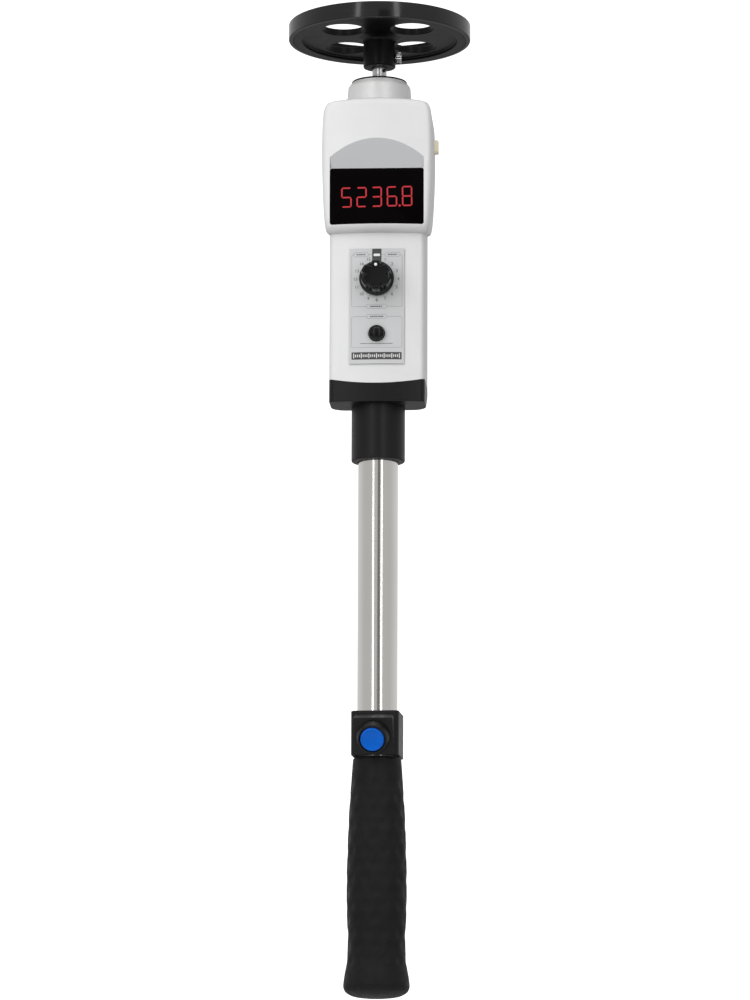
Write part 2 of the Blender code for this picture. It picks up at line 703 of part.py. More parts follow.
def make_pole(finish):
    ring("pole_tube", TUBE_RADIUS - TUBE_WALL, TUBE_RADIUS, TUBE_BOTTOM, TUBE_TOP, finish["tube"])


def make_switch_block(finish):
    """Square block clamped round the pole, with a sloped seat that turns the switch to the thumb."""
    outline = rounded_rectangle(BLOCK_HALF, BLOCK_HALF, BLOCK_CORNER)
    inset = rounded_rectangle(BLOCK_HALF - 0.6, BLOCK_HALF - 0.6, BLOCK_CORNER - 0.6)
    sections = [
        [(x, y, BLOCK_BOTTOM) for x, y in inset],
        [(x, y, BLOCK_BOTTOM + 0.6) for x, y in outline],
        [(x, y, BLOCK_TOP - 0.6) for x, y in outline],
        [(x, y, BLOCK_TOP) for x, y in inset],
    ]
    body = add_object("switch_block", loft_bmesh(sections), finish["black"], turn=(0, 0, BLOCK_TURN))
    centre = (SWITCH_REACH * math.sin(BLOCK_TURN), -SWITCH_REACH * math.cos(BLOCK_TURN), SWITCH_LEVEL)
    axis = add_empty("switch_axis", centre, (math.pi / 2 + SWITCH_TILT, 0, BLOCK_TURN))
    half = SWITCH_PLATE / 2
    seat = prism("switch_seat_tool", rounded_rectangle(half, half, 0.8, 2), -9.0, 0.0, parent=axis)
    boolean(body, "UNION", seat)
    cut(body, block("block_floor_tool", (-30, -30, BLOCK_BOTTOM - 20), (30, 30, BLOCK_BOTTOM + 0.1)))
    cut(body, rod("pole_bore_tool", TUBE_RADIUS + GAP, BLOCK_BOTTOM - 5, BLOCK_TOP + 5, segments=ROUND))
    hole = rod("switch_hole_tool", 5.4 + GAP, -15.5, 5.0, parent=axis)
    cut(body, hole)
    cut(bpy.data.objects["pole_tube"], rod("tube_window_tool", 5.4 + 2 * GAP, -15.5, 5.0, parent=axis))
    rod("thumb_switch", 5.4, -15.0, -3.6, finish["black"], SMALL_ROUND, parent=axis)
    bore = BUTTON_RADIUS + GAP
    bezel = [(bore, GAP), (BEZEL_RADIUS, GAP), (BEZEL_RADIUS, 1.2), (7.6, BEZEL_HEIGHT)]
    bezel.append((bore, BEZEL_HEIGHT))
    turned("switch_bezel", bezel, finish["black"], parent=axis)
    face = BEZEL_HEIGHT + 0.9
    button = [(0, -1.2), (2.4, -1.2), (2.4, 2.6), (BUTTON_RADIUS, 2.6), (BUTTON_RADIUS, face - 0.9)]
    button += [(BUTTON_RADIUS - 0.9, face), (0, face - 0.4)]
    turned("thumb_button", button, finish["blue"], parent=axis)


def make_grip(finish):
    bore = TUBE_RADIUS + GAP
    outline = (  # level and radius up the outside of the grip
        (0.0, 6.0), (0.5, 10.5), (1.7, 14.0), (3.6, 16.4), (6.2, 17.2), (10.5, 16.75), (16.0, 15.8),
        (23.0, 15.1),
        (31.0, 14.9), (40.0, 15.3), (50.0, 15.6), (62.0, 15.6), (76.0, 15.25), (90.0, 14.8), (102.0, 14.15),
        (113.0, 13.35), (120.5, 12.85), (123.8, 12.55),
    )
    profile = [(0, 0)] + [(radius, level) for level, radius in outline]
    neck = 11.8
    neck_top = BLOCK_BOTTOM - GAP
    profile += [(12.1, GRIP_TOP), (neck, GRIP_TOP), (neck, neck_top), (bore, neck_top)]
    profile += [(bore, 12.0), (0, 12.0)]
    turned("hand_grip", profile, finish["grip"])
    turned(
        "tube_plug",
        [(0, 12.4), (TUBE_RADIUS - 0.2, 12.4), (TUBE_RADIUS - 0.2, 15.6), (8.9, 15.6), (8.9, 24.0)]
        + [(0, 24.0)],
        finish["black"],
        SMALL_ROUND,
    )


def make_cable(finish):
    """Switch lead that runs up inside the pole to the plug on the main board."""
    route = (  # x, y, z
        (0, 0.5, 146.5),
        (0, 1.5, 152.0),
        (0, 1.5, 200.0),
        (0, 0.5, 260.0),
        (0, 0, 300.0),
        (0, 0, 312.0),
        (0, -3.0, 318.5),
        (0, -8.0, 323.0),
        (0, -9.6, 328.0),
        (0, -9.6, 333.5),
    )
    path = smooth_route([Vector(point) for point in route], 3)
    add_object("signal_cable", swept_bmesh(path, 1.5), finish["black"])
    block("cable_plug", (-4.5, -12.2, 334.2), (4.5, -5.0, 340.2), finish["white"])


def swept_bmesh(route, radius, around=8):
    """A round cord along a route that stays in the plane x = 0."""
    sections = []
    for i, centre in enumerate(route):
        along = (route[min(i + 1, len(route) - 1)] - route[max(i - 1, 0)]).normalized()
        aside = Vector((1, 0, 0))
        outward = along.cross(aside)
        section = []
        for step in range(around):
            angle = 2 * math.pi * step / around
            section.append(centre + radius * (math.cos(angle) * aside + math.sin(angle) * outward))
        sections.append(section)
    return loft_bmesh(sections)


def smooth_route(points, steps):
    """Catmull-Rom points along a route."""
    ends = [points[0]] + points + [points[-1]]
    route = []
    for before, start, stop, after in zip(ends, ends[1:], ends[2:], ends[3:]):
        for step in range(steps):
            t = step / steps
            route.append(
                0.5
                * (
                    2 * start
                    + (stop - before) * t
                    + (2 * before - 5 * start + 4 * stop - after) * t**2
                    + (3 * start - before - 3 * stop + after) * t**3
                )
            )
    return route + [points[-1]]


def main():
    for old in list(bpy.data.objects):
        bpy.data.objects.remove(old, do_unlink=True)
    finish = make_materials()
    make_case(finish)
    make_battery_door(finish)
    make_screws(finish)
    make_display(finish)
    make_electronics(finish)
    make_batteries(finish)
    make_selector(finish)
    make_measure_button(finish)
    make_memory_button(finish)
    make_label(finish)
    make_neck(finish)
    make_spindle(finish)
    make_wheel(finish)
    make_adapter(finish)
    make_pole(finish)
    make_switch_block(finish)
    make_grip(finish)
    make_cable(finish)


main()
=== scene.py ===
"""Looks of the contact tachometer: its detailed pieces, materials, light and camera.

Lengths in this script are millimetres in the row frame, unless a name ends in _M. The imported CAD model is
the fixed frame. Each visible CAD node gets a finer piece that rides on the same body and stands for it,
and the nodes inside the case keep their CAD mesh and get a better material.
"""

import random
from math import atan, atan2, ceil, cos, floor, pi, radians, sin, sqrt, tan

import bmesh
import bpy
from mathutils import Euler, Matrix, Vector, noise


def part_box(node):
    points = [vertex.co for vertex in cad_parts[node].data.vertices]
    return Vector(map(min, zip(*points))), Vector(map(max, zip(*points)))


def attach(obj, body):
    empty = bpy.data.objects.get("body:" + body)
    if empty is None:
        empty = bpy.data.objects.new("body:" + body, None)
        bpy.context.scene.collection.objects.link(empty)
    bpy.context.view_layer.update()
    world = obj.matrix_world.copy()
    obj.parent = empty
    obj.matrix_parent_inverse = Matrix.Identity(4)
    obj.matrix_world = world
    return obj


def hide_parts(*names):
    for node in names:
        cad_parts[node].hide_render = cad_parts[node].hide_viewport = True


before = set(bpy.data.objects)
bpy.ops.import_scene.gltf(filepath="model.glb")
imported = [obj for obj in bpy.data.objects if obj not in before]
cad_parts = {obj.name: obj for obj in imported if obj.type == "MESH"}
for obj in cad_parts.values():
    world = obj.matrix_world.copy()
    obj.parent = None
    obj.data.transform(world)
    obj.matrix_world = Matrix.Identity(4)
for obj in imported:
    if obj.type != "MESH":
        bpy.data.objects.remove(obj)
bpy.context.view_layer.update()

MM = 0.001
GAP = 0.3
FULL_TURN = 2 * pi
FLAT_LIMIT = radians(1.5)  # faces this close to a plane's normal belong to it
SHARP_FROM = radians(32)  # edges that bend more than this are shaded sharp
FACING_FRONT = (pi / 2, 0, 0)  # local +Z becomes -Y
FACING_BACK = (-pi / 2, 0, 0)  # local +Z becomes +Y
FACING_RIGHT = (0, pi / 2, 0)  # local +Z becomes +X


def span(node):
    """Lowest and highest corners of a CAD node, in millimetres."""
    low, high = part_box(node)
    return low / MM, high / MM


def middle(node):
    low, high = span(node)
    return (low + high) / 2


# ---- materials


def node(tree, kind, **inputs):
    """A shader node. Its inputs are set to values or linked, and underscores stand for spaces."""
    made = tree.nodes.new("ShaderNode" + kind)
    for name, value in inputs.items():
        socket = made.inputs[name.replace("_", " ")]
        if isinstance(value, bpy.types.NodeSocket):
            tree.links.new(value, socket)
        else:
            socket.default_value = value
    return made


def noise_node(tree, vector, size, detail=3.0):
    """Noise with features of about size millimetres."""
    return node(tree, "TexNoise", Vector=vector, Scale=1 / (size * MM), Detail=detail).outputs["Fac"]


def spread(tree, value, low, high, start=0.3, stop=0.7):
    """Maps start to stop, by default the middle of a noise, onto low to high."""
    limits = {"From_Min": start, "From_Max": stop, "To_Min": low, "To_Max": high}
    return node(tree, "MapRange", Value=value, **limits).outputs["Result"]


def surface(
    name, colour, roughness, metallic=0.0, mottle=0.05, mottle_size=14.0, gloss_change=0.04,
    grain=0.0, grain_size=0.5, stretch=(1, 1, 1), **sockets,
):
    """A Principled material whose colour, gloss and relief vary over the surface.

    grain is the height of the fine relief in millimetres, and stretch draws it out along an axis.
    Other settings go straight onto the shader's sockets, with underscores for spaces.
    """
    made = bpy.data.materials.new(name)
    made.use_nodes = True
    tree = made.node_tree
    shader = tree.nodes["Principled BSDF"]
    shader.inputs["Metallic"].default_value = metallic
    for socket, value in sockets.items():
        shader.inputs[socket.replace("_", " ")].default_value = value
    place = node(tree, "TexCoord").outputs["Object"]
    mapped = node(tree, "Mapping", Vector=place, Scale=stretch).outputs["Vector"]
    ramp = node(tree, "Mix")
    ramp.data_type = "RGBA"
    ramp.inputs["A"].default_value = (*[c * (1 - mottle) for c in colour], 1)
    ramp.inputs["B"].default_value = (*[min(1.0, c * (1 + mottle)) for c in colour], 1)
    tree.links.new(spread(tree, noise_node(tree, place, mottle_size), 0, 1), ramp.inputs["Factor"])
    tree.links.new(ramp.outputs["Result"], shader.inputs["Base Color"])
    gloss = noise_node(tree, mapped, mottle_size / 3, 5.0)
    low, high = max(0.02, roughness - gloss_change), roughness + gloss_change
    tree.links.new(spread(tree, gloss, low, high), shader.inputs["Roughness"])
    if grain:
        height = noise_node(tree, mapped, grain_size, 4.0)
        relief = node(tree, "Bump", Height=height, Distance=grain * MM, Strength=1.0)
        tree.links.new(relief.outputs["Normal"], shader.inputs["Normal"])
    return made


SKIN = {
    "case": surface("case_paint", (0.56, 0.56, 0.565), 0.42, 0.05, 0.015, grain=0.003, grain_size=0.35),
    "neck": surface("neck_paint", (0.64, 0.64, 0.64), 0.40, 0.35, 0.015, grain=0.003, grain_size=0.3),
    "black": surface(
        "moulded_black", (0.006, 0.006, 0.0065), 0.40, grain=0.008, grain_size=0.5, Specular_IOR_Level=0.28
    ),
    "collar": surface(
        "collar_black", (0.006, 0.006, 0.0066), 0.36, grain=0.006, grain_size=0.4, Specular_IOR_Level=0.28
    ),
    "wheel": surface(
        "wheel_plastic", (0.003, 0.003, 0.0034), 0.32, grain=0.006, grain_size=0.8, Specular_IOR_Level=0.17
    ),
    "tyre": surface(
        "tyre_rubber", (0.004, 0.004, 0.0044), 0.13, mottle=0.12, gloss_change=0.03, grain=0.002,
        Specular_IOR_Level=0.6,
    ),
    "grip": surface(
        "grip_rubber", (0.005, 0.0051, 0.0054), 0.55, mottle=0.16, mottle_size=9, gloss_change=0.08,
        grain=0.02, grain_size=0.7, Specular_IOR_Level=0.25,
    ),
    "tube": surface(
        "tube_steel", (0.90, 0.885, 0.86), 0.13, 1.0, 0.02, 30, 0.02, 0.0007, 0.5, stretch=(3, 3, 0.08)
    ),
    "steel": surface("turned_steel", (0.66, 0.66, 0.67), 0.20, 1.0, 0.06, 4, 0.06, 0.004, 0.3),
    "chrome": surface("screw_chrome", (0.78, 0.78, 0.79), 0.12, 1.0, 0.03, 3, 0.04),
    "window": surface(
        "window_smoked", (0.0015, 0.001, 0.0012), 0.07, 0.0, 0.2, 20, 0.02, Specular_IOR_Level=0.03
    ),
    # the brow's darker grey is partly its own greyer tone and partly painted shade of the downward-facing
    # brow
    "brow": surface("brow_grey_and_painted_shade", (0.385, 0.39, 0.40), 0.45, 0.05, 0.01, grain=0.003, grain_size=0.35),
    "label": surface("overlay_film", (0.435, 0.44, 0.445), 0.45, 0.05, 0.01, grain=0.003, grain_size=0.25),
    "print": surface("overlay_print", (0.045, 0.045, 0.047), 0.45, 0.0, 0.1, 3),
    "print_grey": surface("overlay_print_grey", (0.31, 0.31, 0.315), 0.5, 0.0, 0.1, 3),
    "print_light": surface("overlay_print_light", (0.62, 0.62, 0.61), 0.5, 0.0, 0.03, 3),
    "knob": surface(
        "knob_black", (0.003, 0.003, 0.0034), 0.20, 0.0, 0.1, 5, grain=0.003, grain_size=0.4,
        Specular_IOR_Level=0.3,
    ),
    "pointer": surface("pointer_white", (0.62, 0.62, 0.61), 0.4, 0.0, 0.03, 2),
    "cream": surface("cream_plastic", (0.80, 0.75, 0.56), 0.35, 0.0, 0.03, 4, grain=0.01),
    "blue": surface(
        "button_blue", (0.0005, 0.092, 0.46), 0.30, 0.0, 0.05, 4, grain=0.003, grain_size=0.5,
        Specular_IOR_Level=0.15,
    ),
    # dark blue of the inner thumb switch; on the thumb button's skirt it is painted shade of the gap round
    # the button
    "blue_dark": surface("dark_blue_and_painted_gap_shade", (0.004, 0.02, 0.11), 0.5, 0.0, 0.1, 3, grain=0.02),
    "board": surface("board_green", (0.02, 0.16, 0.07), 0.35, 0.0, 0.15, 5, grain=0.03, grain_size=1.2),
    "brass": surface("contact_nickel", (0.74, 0.66, 0.50), 0.25, 1.0, 0.06, 4),
    "cell": surface("cell_wrap", (0.035, 0.04, 0.05), 0.28, 0.1, 0.08, 8),
    "cell_band": surface("cell_band", (0.62, 0.40, 0.12), 0.28, 0.5, 0.05, 6),
    "bearing": surface("bearing_steel", (0.6, 0.6, 0.61), 0.25, 1.0, 0.06, 5),
    "cable": surface("cable_jacket", (0.02, 0.02, 0.022), 0.5, 0.0, 0.1, 4, grain=0.02),
    "plug": surface("plug_nylon", (0.75, 0.73, 0.66), 0.45, 0.0, 0.04, 4, grain=0.01),
    "lit": surface(
        "digit_red", (0.25, 0.01, 0.015), 0.5, 0.0, 0.05, 2, Emission_Color=(1.0, 0.03, 0.05, 1),
        Emission_Strength=0.19,
    ),
}


# ---- mesh helpers


def polar(radius, angle):
    return radius * cos(angle), radius * sin(angle)


def filleted(points, closed=False):
    """An outline with rounded corners. A point is a pair, or a triple with its corner radius."""
    made = []
    for i, point in enumerate(points):
        corner = Vector(point[:2])
        if len(point) == 2 or (not closed and i in (0, len(points) - 1)):
            made.append(tuple(corner))
            continue
        radius = point[2]
        before = (Vector(points[i - 1][:2]) - corner).normalized()
        after = (Vector(points[(i + 1) % len(points)][:2]) - corner).normalized()
        half = before.angle(after) / 2
        centre = corner + (before + after).normalized() * radius / sin(half)
        start = corner + before * radius / tan(half) - centre
        stop = corner + after * radius / tan(half) - centre
        first = atan2(start.y, start.x)
        sweep = (atan2(stop.y, stop.x) - first + pi) % FULL_TURN - pi
        steps = max(2, round(abs(sweep) / radians(14)))
        for step in range(steps + 1):
            angle = first + sweep * step / steps
            x, y = polar(radius, angle)
            made.append((centre.x + x, centre.y + y))
    return made


def bridge(bm, lower, upper):
    """Faces between two rings, either of which may be a single point."""
    low, high = len(lower), len(upper)
    for i in range(max(low, high)):
        j = (i + 1) % max(low, high)
        corners = [lower[i % low], lower[j % low], upper[j % high], upper[i % high]]
        bm.faces.new(list(dict.fromkeys(corners)))


def lathe(profile, segments=96, shape=None):
    """Spins (radius, height) points round Z. shape(radius, angle, height) can change the radius."""
    bm = bmesh.new()
    rows = []
    for radius, height in profile:
        if radius < 1e-6:
            rows.append([bm.verts.new((0, 0, height))])
            continue
        row = []
        for i in range(segments):
            angle = FULL_TURN * i / segments
            reach = shape(radius, angle, height) if shape else radius
            row.append(bm.verts.new((*polar(reach, angle), height)))
        rows.append(row)
    for lower, upper in zip(rows, rows[1:]):
        bridge(bm, lower, upper)
    if len(rows[0]) > 1:
        bridge(bm, rows[-1], rows[0])
    return bm


def loft(sections, striped=False):
    """Joins outlines of equal length and caps both ends. Striped caps suit ends that aren't flat."""
    bm = bmesh.new()
    rows = [[bm.verts.new(point) for point in section] for section in sections]
    count = len(rows[0])
    for lower, upper in zip(rows, rows[1:]):
        bridge(bm, lower, upper)
    for row in (rows[0], rows[-1]):
        if striped:
            for i in range(count // 2 - 1):
                bm.faces.new((row[i], row[i + 1], row[count - 2 - i], row[count - 1 - i]))
        else:
            bm.faces.new(row)
    return bm


def cylinder(radius, low, high, segments=48):
    return lathe([(0, low), (radius, low), (radius, high), (0, high)], segments)


def box(low, high):
    outline = [(low[0], low[1]), (high[0], low[1]), (high[0], high[1]), (low[0], high[1])]
    return loft([[(x, y, level) for x, y in outline] for level in (low[2], high[2])])


def turned(points, segments=64, closed=False):
    """A lathe shape with rounded corners."""
    return lathe(filleted(points, closed), segments)


def prism(outline, low, high, axis="Z"):
    """Extrudes pairs along an axis: x,y for Z, y,z for X and x,z for Y."""
    order = {"X": (2, 0, 1), "Y": (0, 2, 1), "Z": (0, 1, 2)}[axis]
    return loft([[[(*pair, level)[i] for i in order] for pair in outline] for level in (low, high)])


def rounded_rectangle(half_x, half_y, radius, steps=6):
    points = []
    for corner, (sign_x, sign_y) in enumerate(((1, 1), (-1, 1), (-1, -1), (1, -1))):
        for step in range(steps + 1):
            angle = pi / 2 * (corner + step / steps)
            x, y = polar(radius, angle)
            points.append((sign_x * (half_x - radius) + x, sign_y * (half_y - radius) + y))
    return points


def slab(half_x, half_y, corner, low, high, edge, centre=(0, 0)):
    """A rounded rectangular plate whose upper and lower edges are rounded too."""
    steps = 4
    arc = [pi / 2 * step / steps for step in range(steps + 1)]
    levels = [(low + edge * (1 - cos(a)), edge * (1 - sin(a))) for a in arc]
    levels += [(high - edge * (1 - cos(a)), edge * (1 - sin(a))) for a in reversed(arc)]
    sections = []
    for level, inset in levels:
        outline = rounded_rectangle(half_x - inset, half_y - inset, max(corner - inset, 0.05))
        sections.append([(x + centre[0], y + centre[1], level) for x, y in outline])
    return loft(sections)


def placed(bm, at=(0, 0, 0), turn=(0, 0, 0)):
    bm.transform(Matrix.Translation(at) @ Euler(turn).to_matrix().to_4x4())
    return bm


def joined(*parts):
    """One bmesh that holds several separate closed shapes."""
    first = parts[0]
    for part in parts[1:]:
        mesh = bpy.data.meshes.new("part")
        part.to_mesh(mesh)
        part.free()
        first.from_mesh(mesh)
        bpy.data.meshes.remove(mesh)
    return first


def added(name, data):
    made = bpy.data.objects.new(name, data)
    bpy.context.scene.collection.objects.link(made)
    return made


def as_object(name, bm):
    mesh = bpy.data.meshes.new(name)
    bm.to_mesh(mesh)
    bm.free()
    return added(name, mesh)


def helper(bm):
    bmesh.ops.recalc_face_normals(bm, faces=bm.faces)
    return as_object("helper", bm)


CUT, ADD = "DIFFERENCE", "UNION"


def combined(base, *steps):
    """Applies Boolean steps, as operation and bmesh pairs, and returns the result as a bmesh."""
    body = helper(base)
    tools = []
    for operation, tool in steps:
        tools.append(helper(tool))
        change = body.modifiers.new(operation, "BOOLEAN")
        change.operation, change.solver, change.object = operation, "EXACT", tools[-1]
    shown = body.evaluated_get(bpy.context.evaluated_depsgraph_get())
    result = bmesh.new()
    result.from_mesh(shown.to_mesh())
    shown.to_mesh_clear()
    for used in [body, *tools]:
        mesh = used.data
        bpy.data.objects.remove(used)
        bpy.data.meshes.remove(mesh)
    bmesh.ops.remove_doubles(result, verts=result.verts, dist=1e-4)
    return result


def cut(base, *tools):
    return combined(base, *[(CUT, tool) for tool in tools])


def piece(
    name, bm, skin, *nodes, body="instrument", slot=None, at=(0, 0, 0), turn=(0, 0, 0), weighted=False
):
    """A finished piece: it rides on a CAD body and stands for CAD nodes.

    The slot argument is not used. Weighted pieces are shaded
    evenly next to their rounded edges.
    """
    placed(bm, at, turn)
    bmesh.ops.recalc_face_normals(bm, faces=bm.faces)
    bmesh.ops.scale(bm, vec=(MM, MM, MM), verts=bm.verts)
    made = as_object(name, bm)
    made.data.shade_smooth()
    made.data.set_sharp_from_angle(angle=SHARP_FROM)
    made.data.materials.append(SKIN[skin])
    if weighted:
        made.modifiers.new("even_shading", "WEIGHTED_NORMAL").keep_sharp = True
    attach(made, body)
    if nodes:
        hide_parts(*nodes)
    return made


def crisp_border(made, normal):
    """Keeps the border of the flat areas that face along a normal sharp."""
    mesh = made.data
    flat = {face.index for face in mesh.polygons if face.normal.angle(normal) < FLAT_LIMIT}
    owners = {}
    for face in mesh.polygons:
        for key in face.edge_keys:
            owners.setdefault(key, set()).add(face.index in flat)
    for edge in mesh.edges:
        if len(owners[edge.key]) == 2:
            edge.use_edge_sharp = True


def second_skin(made, skin, chosen):
    """Gives the faces whose centre, in millimetres, and normal pass the test another material."""
    made.data.materials.append(SKIN[skin])
    for face in made.data.polygons:
        if chosen(face.center / MM, face.normal):
            face.material_index = 1


# ---- case surface

CASE_HALF_WIDTH = 25.2
CASE_FRONT = 18.6
CASE_BACK = 20.0
CASE_WALL = 2.2
FRONT_CROWN_RADIUS = 130.0
CROWN_STEPS = 28
CORNER_STEPS = 8
FRONT_CORNER = 3.4
BACK_CORNER = 4.0
PARTING_Y = 1.0
CAP_BOTTOM = 310.4
SEAM = 320.0
SEAM_RADIUS = 125.0
CHIN = 400.6
CASE_TOP = 472.9
TOP_CROWN_START = 458.0
TOP_CROWN_DROP = 1.4
LIP_SLOPE = 0.2  # how steeply the chin rises towards the back
LIP_START_Y = -12.0
LIP_FADE = (360.0, 445.0)
CASE_LEVELS = (  # level, half width, front, back
    (312.0, CASE_HALF_WIDTH, CASE_FRONT, CASE_BACK),
    (CHIN, CASE_HALF_WIDTH, CASE_FRONT, CASE_BACK),
    (400.9, 26.1, 20.2, CASE_BACK),
    (401.8, 26.9, 22.0, CASE_BACK),
    (403.8, 27.4, 23.8, CASE_BACK),
    (408.0, 27.9, 24.8, CASE_BACK),
    (418.0, 28.5, 25.3, CASE_BACK),
    (432.0, 29.0, 25.6, CASE_BACK),
    (447.0, 29.2, 25.7, CASE_BACK),
    (458.0, 29.0, 25.5, CASE_BACK),
    (464.0, 28.7, 25.3, CASE_BACK),
    (468.4, 28.1, 25.1, 19.9),
    (471.9, 26.7, 24.3, 19.4),
    (CASE_TOP, 25.0, 22.6, 18.5),
)


def front_of(x, front=CASE_FRONT):
    """Distance of the crowned front face from the pole's axis, at x from the middle."""
    return front - x * x / (2 * FRONT_CROWN_RADIUS)


def mirrored(points):
    return [(-x, y) for x, y in reversed(points)]


def case_outline(half_width, front, back, inset=0.0, rear_radius=BACK_CORNER):
    """A section of the case, left to right along the front and then back again."""
    half = half_width - inset
    face = front - inset
    corner = max(FRONT_CORNER - inset, 1.0)
    back_corner = max(rear_radius - inset, 1.0)
    end = half - corner
    for _ in range(4):
        end = half - corner + corner * sin(atan(end / FRONT_CROWN_RADIUS))
    slope = atan(end / FRONT_CROWN_RADIUS)
    centre_y = -front_of(end, face) + corner * cos(slope)
    xs = [end * (2 * step / CROWN_STEPS - 1) for step in range(CROWN_STEPS + 1)]
    front_corner = []
    for step in range(1, CORNER_STEPS + 1):
        angle = (slope - pi / 2) * (1 - step / CORNER_STEPS)
        x, y = polar(corner, angle)
        front_corner.append((half - corner + x, centre_y + y))
    rear_corner = []
    for step in range(CORNER_STEPS + 1):
        angle = pi / 2 * step / CORNER_STEPS
        x, y = polar(back_corner, angle)
        rear_corner.append((half - back_corner + x, back - inset - back_corner + y))
    along_front = mirrored(front_corner) + [(x, -front_of(x, face)) for x in xs] + front_corner
    flat = (half - back_corner) / end
    between = [(x * flat, back - inset) for x in reversed(xs[1:-1])]
    return along_front + rear_corner + between + mirrored(rear_corner)


def smooth_value(rows, column, level):
    """A column of a table at any level, by monotone cubic interpolation. The last row keeps its slope."""
    levels = [row[0] for row in rows]
    values = [row[column] for row in rows]
    i = max(k for k in range(len(rows) - 1) if levels[k] <= level or k == 0)
    slopes = [(b - a) / (q - p) for a, b, p, q in zip(values, values[1:], levels, levels[1:])]

    def tangent(k):
        if k in (0, len(rows) - 1) or slopes[k - 1] * slopes[k] <= 0:
            return 0.0
        return 2 * slopes[k - 1] * slopes[k] / (slopes[k - 1] + slopes[k])

    width = levels[i + 1] - levels[i]
    t = (level - levels[i]) / width
    start, stop = tangent(i) * width, tangent(i + 1) * width
    if i + 2 == len(rows):
        stop = 1.6 * slopes[i] * width
    first, last = values[i], values[i + 1]
    return (
        (2 * t**3 - 3 * t**2 + 1) * first
        + (t**3 - 2 * t**2 + t) * start
        + (3 * t**2 - 2 * t**3) * last
        + (t**3 - t**2) * stop
    )


def case_section(level, inset=0.0):
    share = min(max((level - TOP_CROWN_START) / (CASE_TOP - TOP_CROWN_START), 0), 1)
    drop = TOP_CROWN_DROP * share * share / 24.5**2
    start, stop = LIP_FADE
    rise = LIP_SLOPE * max(0.0, min((level - start) / (CHIN - start), (stop - level) / (stop - CHIN)))
    sizes = [smooth_value(CASE_LEVELS, column, level) for column in (1, 2, 3)]
    section = []
    for x, y in case_outline(*sizes, inset):
        section.append((x, y, level - drop * x * x + rise * max(0.0, y - LIP_START_Y)))
    return section


def steps_between(start, stop, count):
    return [start + (stop - start) * step / count for step in range(count)]


def case_loft(inset=0.0, top=CASE_TOP):
    levels = steps_between(305.0 - 2 * inset, LIP_FADE[0], 4) + steps_between(LIP_FADE[0], CHIN, 6)
    levels += steps_between(CHIN, 402.4, 10) + steps_between(402.4, 408, 8) + steps_between(408, 458, 14)
    levels += steps_between(458, 468, 10) + steps_between(468, CASE_TOP, 14)
    levels = [level for level in levels if level < top - 0.2] + [top]
    return loft([case_section(level, inset) for level in levels], striped=True)


def seam_side(offset, above):
    """Everything above, or below, the smile-shaped joint between the case and its cap."""
    half, steps = 40.0, 48
    points = []
    for step in range(steps + 1):
        x = half * (2 * step / steps - 1)
        points.append((x, SEAM + SEAM_RADIUS - sqrt(SEAM_RADIUS**2 - x * x) + offset))
    far = SEAM + (60.0 if above else -30.0)
    return prism(points + [(half, far), (-half, far)], -60, 60, axis="Y")


# ---- head

window_low, window_high = span("display_window")
window_centre, window_half = (window_low + window_high) / 2, (window_high - window_low) / 2
POCKET_HALF = window_half.x + GAP
POCKET_FLOOR_TOP, POCKET_FLOOR_BOTTOM = 21.9, 22.4
BROW_TOP, BROW_DEPTH = 449.6, 25.5
SCREW_NAMES = [f"case_screw_{row}_{side}" for row in ("lower", "upper") for side in ("left", "right")]
SCREW_SINK = 2.3
SCREW_COLUMN_RADIUS = 3.3
NECK_OPENING_RADIUS = 17.35
BROW_SLOPE = (BROW_DEPTH - POCKET_FLOOR_TOP) / (BROW_TOP - window_high.z - GAP)


def at_screws(make):
    """A new shape from make at each case screw, standing towards the back."""
    made = []
    for name in SCREW_NAMES:
        at = middle(name)
        made.append(placed(make(), (at.x, 0, at.z), FACING_BACK))
    return made


def pocket(back_by=0.0):
    """Side view of the display pocket, with its floor and the brow that slopes out to the face."""
    low, high = window_low.z - GAP, window_high.z + GAP
    reach = 45.0
    points = [
        (-reach, low - back_by),
        (-POCKET_FLOOR_BOTTOM + back_by, low - back_by, 0.5),
        (-POCKET_FLOOR_TOP + back_by, high + back_by, 0.8),
        (-reach, high + (reach - POCKET_FLOOR_TOP) / BROW_SLOPE + back_by),
    ]
    half = POCKET_HALF + (CASE_WALL if back_by else 0)
    return prism(filleted(points), -half, half, axis="X")


def case_cavity():
    """The hollow of the case, with a column left standing at each screw."""
    cavity = case_loft(CASE_WALL, CASE_TOP - 4.2)
    return cut(cavity, pocket(CASE_WALL), *at_screws(lambda: cylinder(SCREW_COLUMN_RADIUS, -40, 40, 32)))


def drill(radius, level):
    """A round hole into the face of the case."""
    return placed(cylinder(radius, 5, 30), (0, 0, level), FACING_FRONT)


def make_front_case():
    opening = slab(POCKET_HALF, window_half.z + GAP, 1.3, 10, 30, 0.05)
    bm = cut(
        case_loft(),
        case_cavity(),
        box((-60, PARTING_Y - GAP / 2, 290), (60, 60, 490)),
        pocket(),
        placed(opening, (0, 0, window_centre.z), FACING_FRONT),
        cylinder(NECK_OPENING_RADIUS, 440, 500, 96),
        seam_side(GAP / 2, above=False),
        drill(3.6, middle("selector_knob").z),
        drill(4.4, middle("measure_button").z),
    )
    made = piece("front_shell", bm, "case", "front_case", weighted=True)
    outward = Vector((0, -1, -BROW_SLOPE))
    crisp_border(made, outward)

    def on_brow(at, normal):
        above = at.z - window_high.z - GAP
        level_with = abs(at.y + POCKET_FLOOR_TOP + BROW_SLOPE * above) < 0.1
        return above > 0 and level_with and normal.angle(outward) < FLAT_LIMIT

    # the brow faces get the darker grey, which is partly painted shade
    second_skin(made, "brow", on_brow)


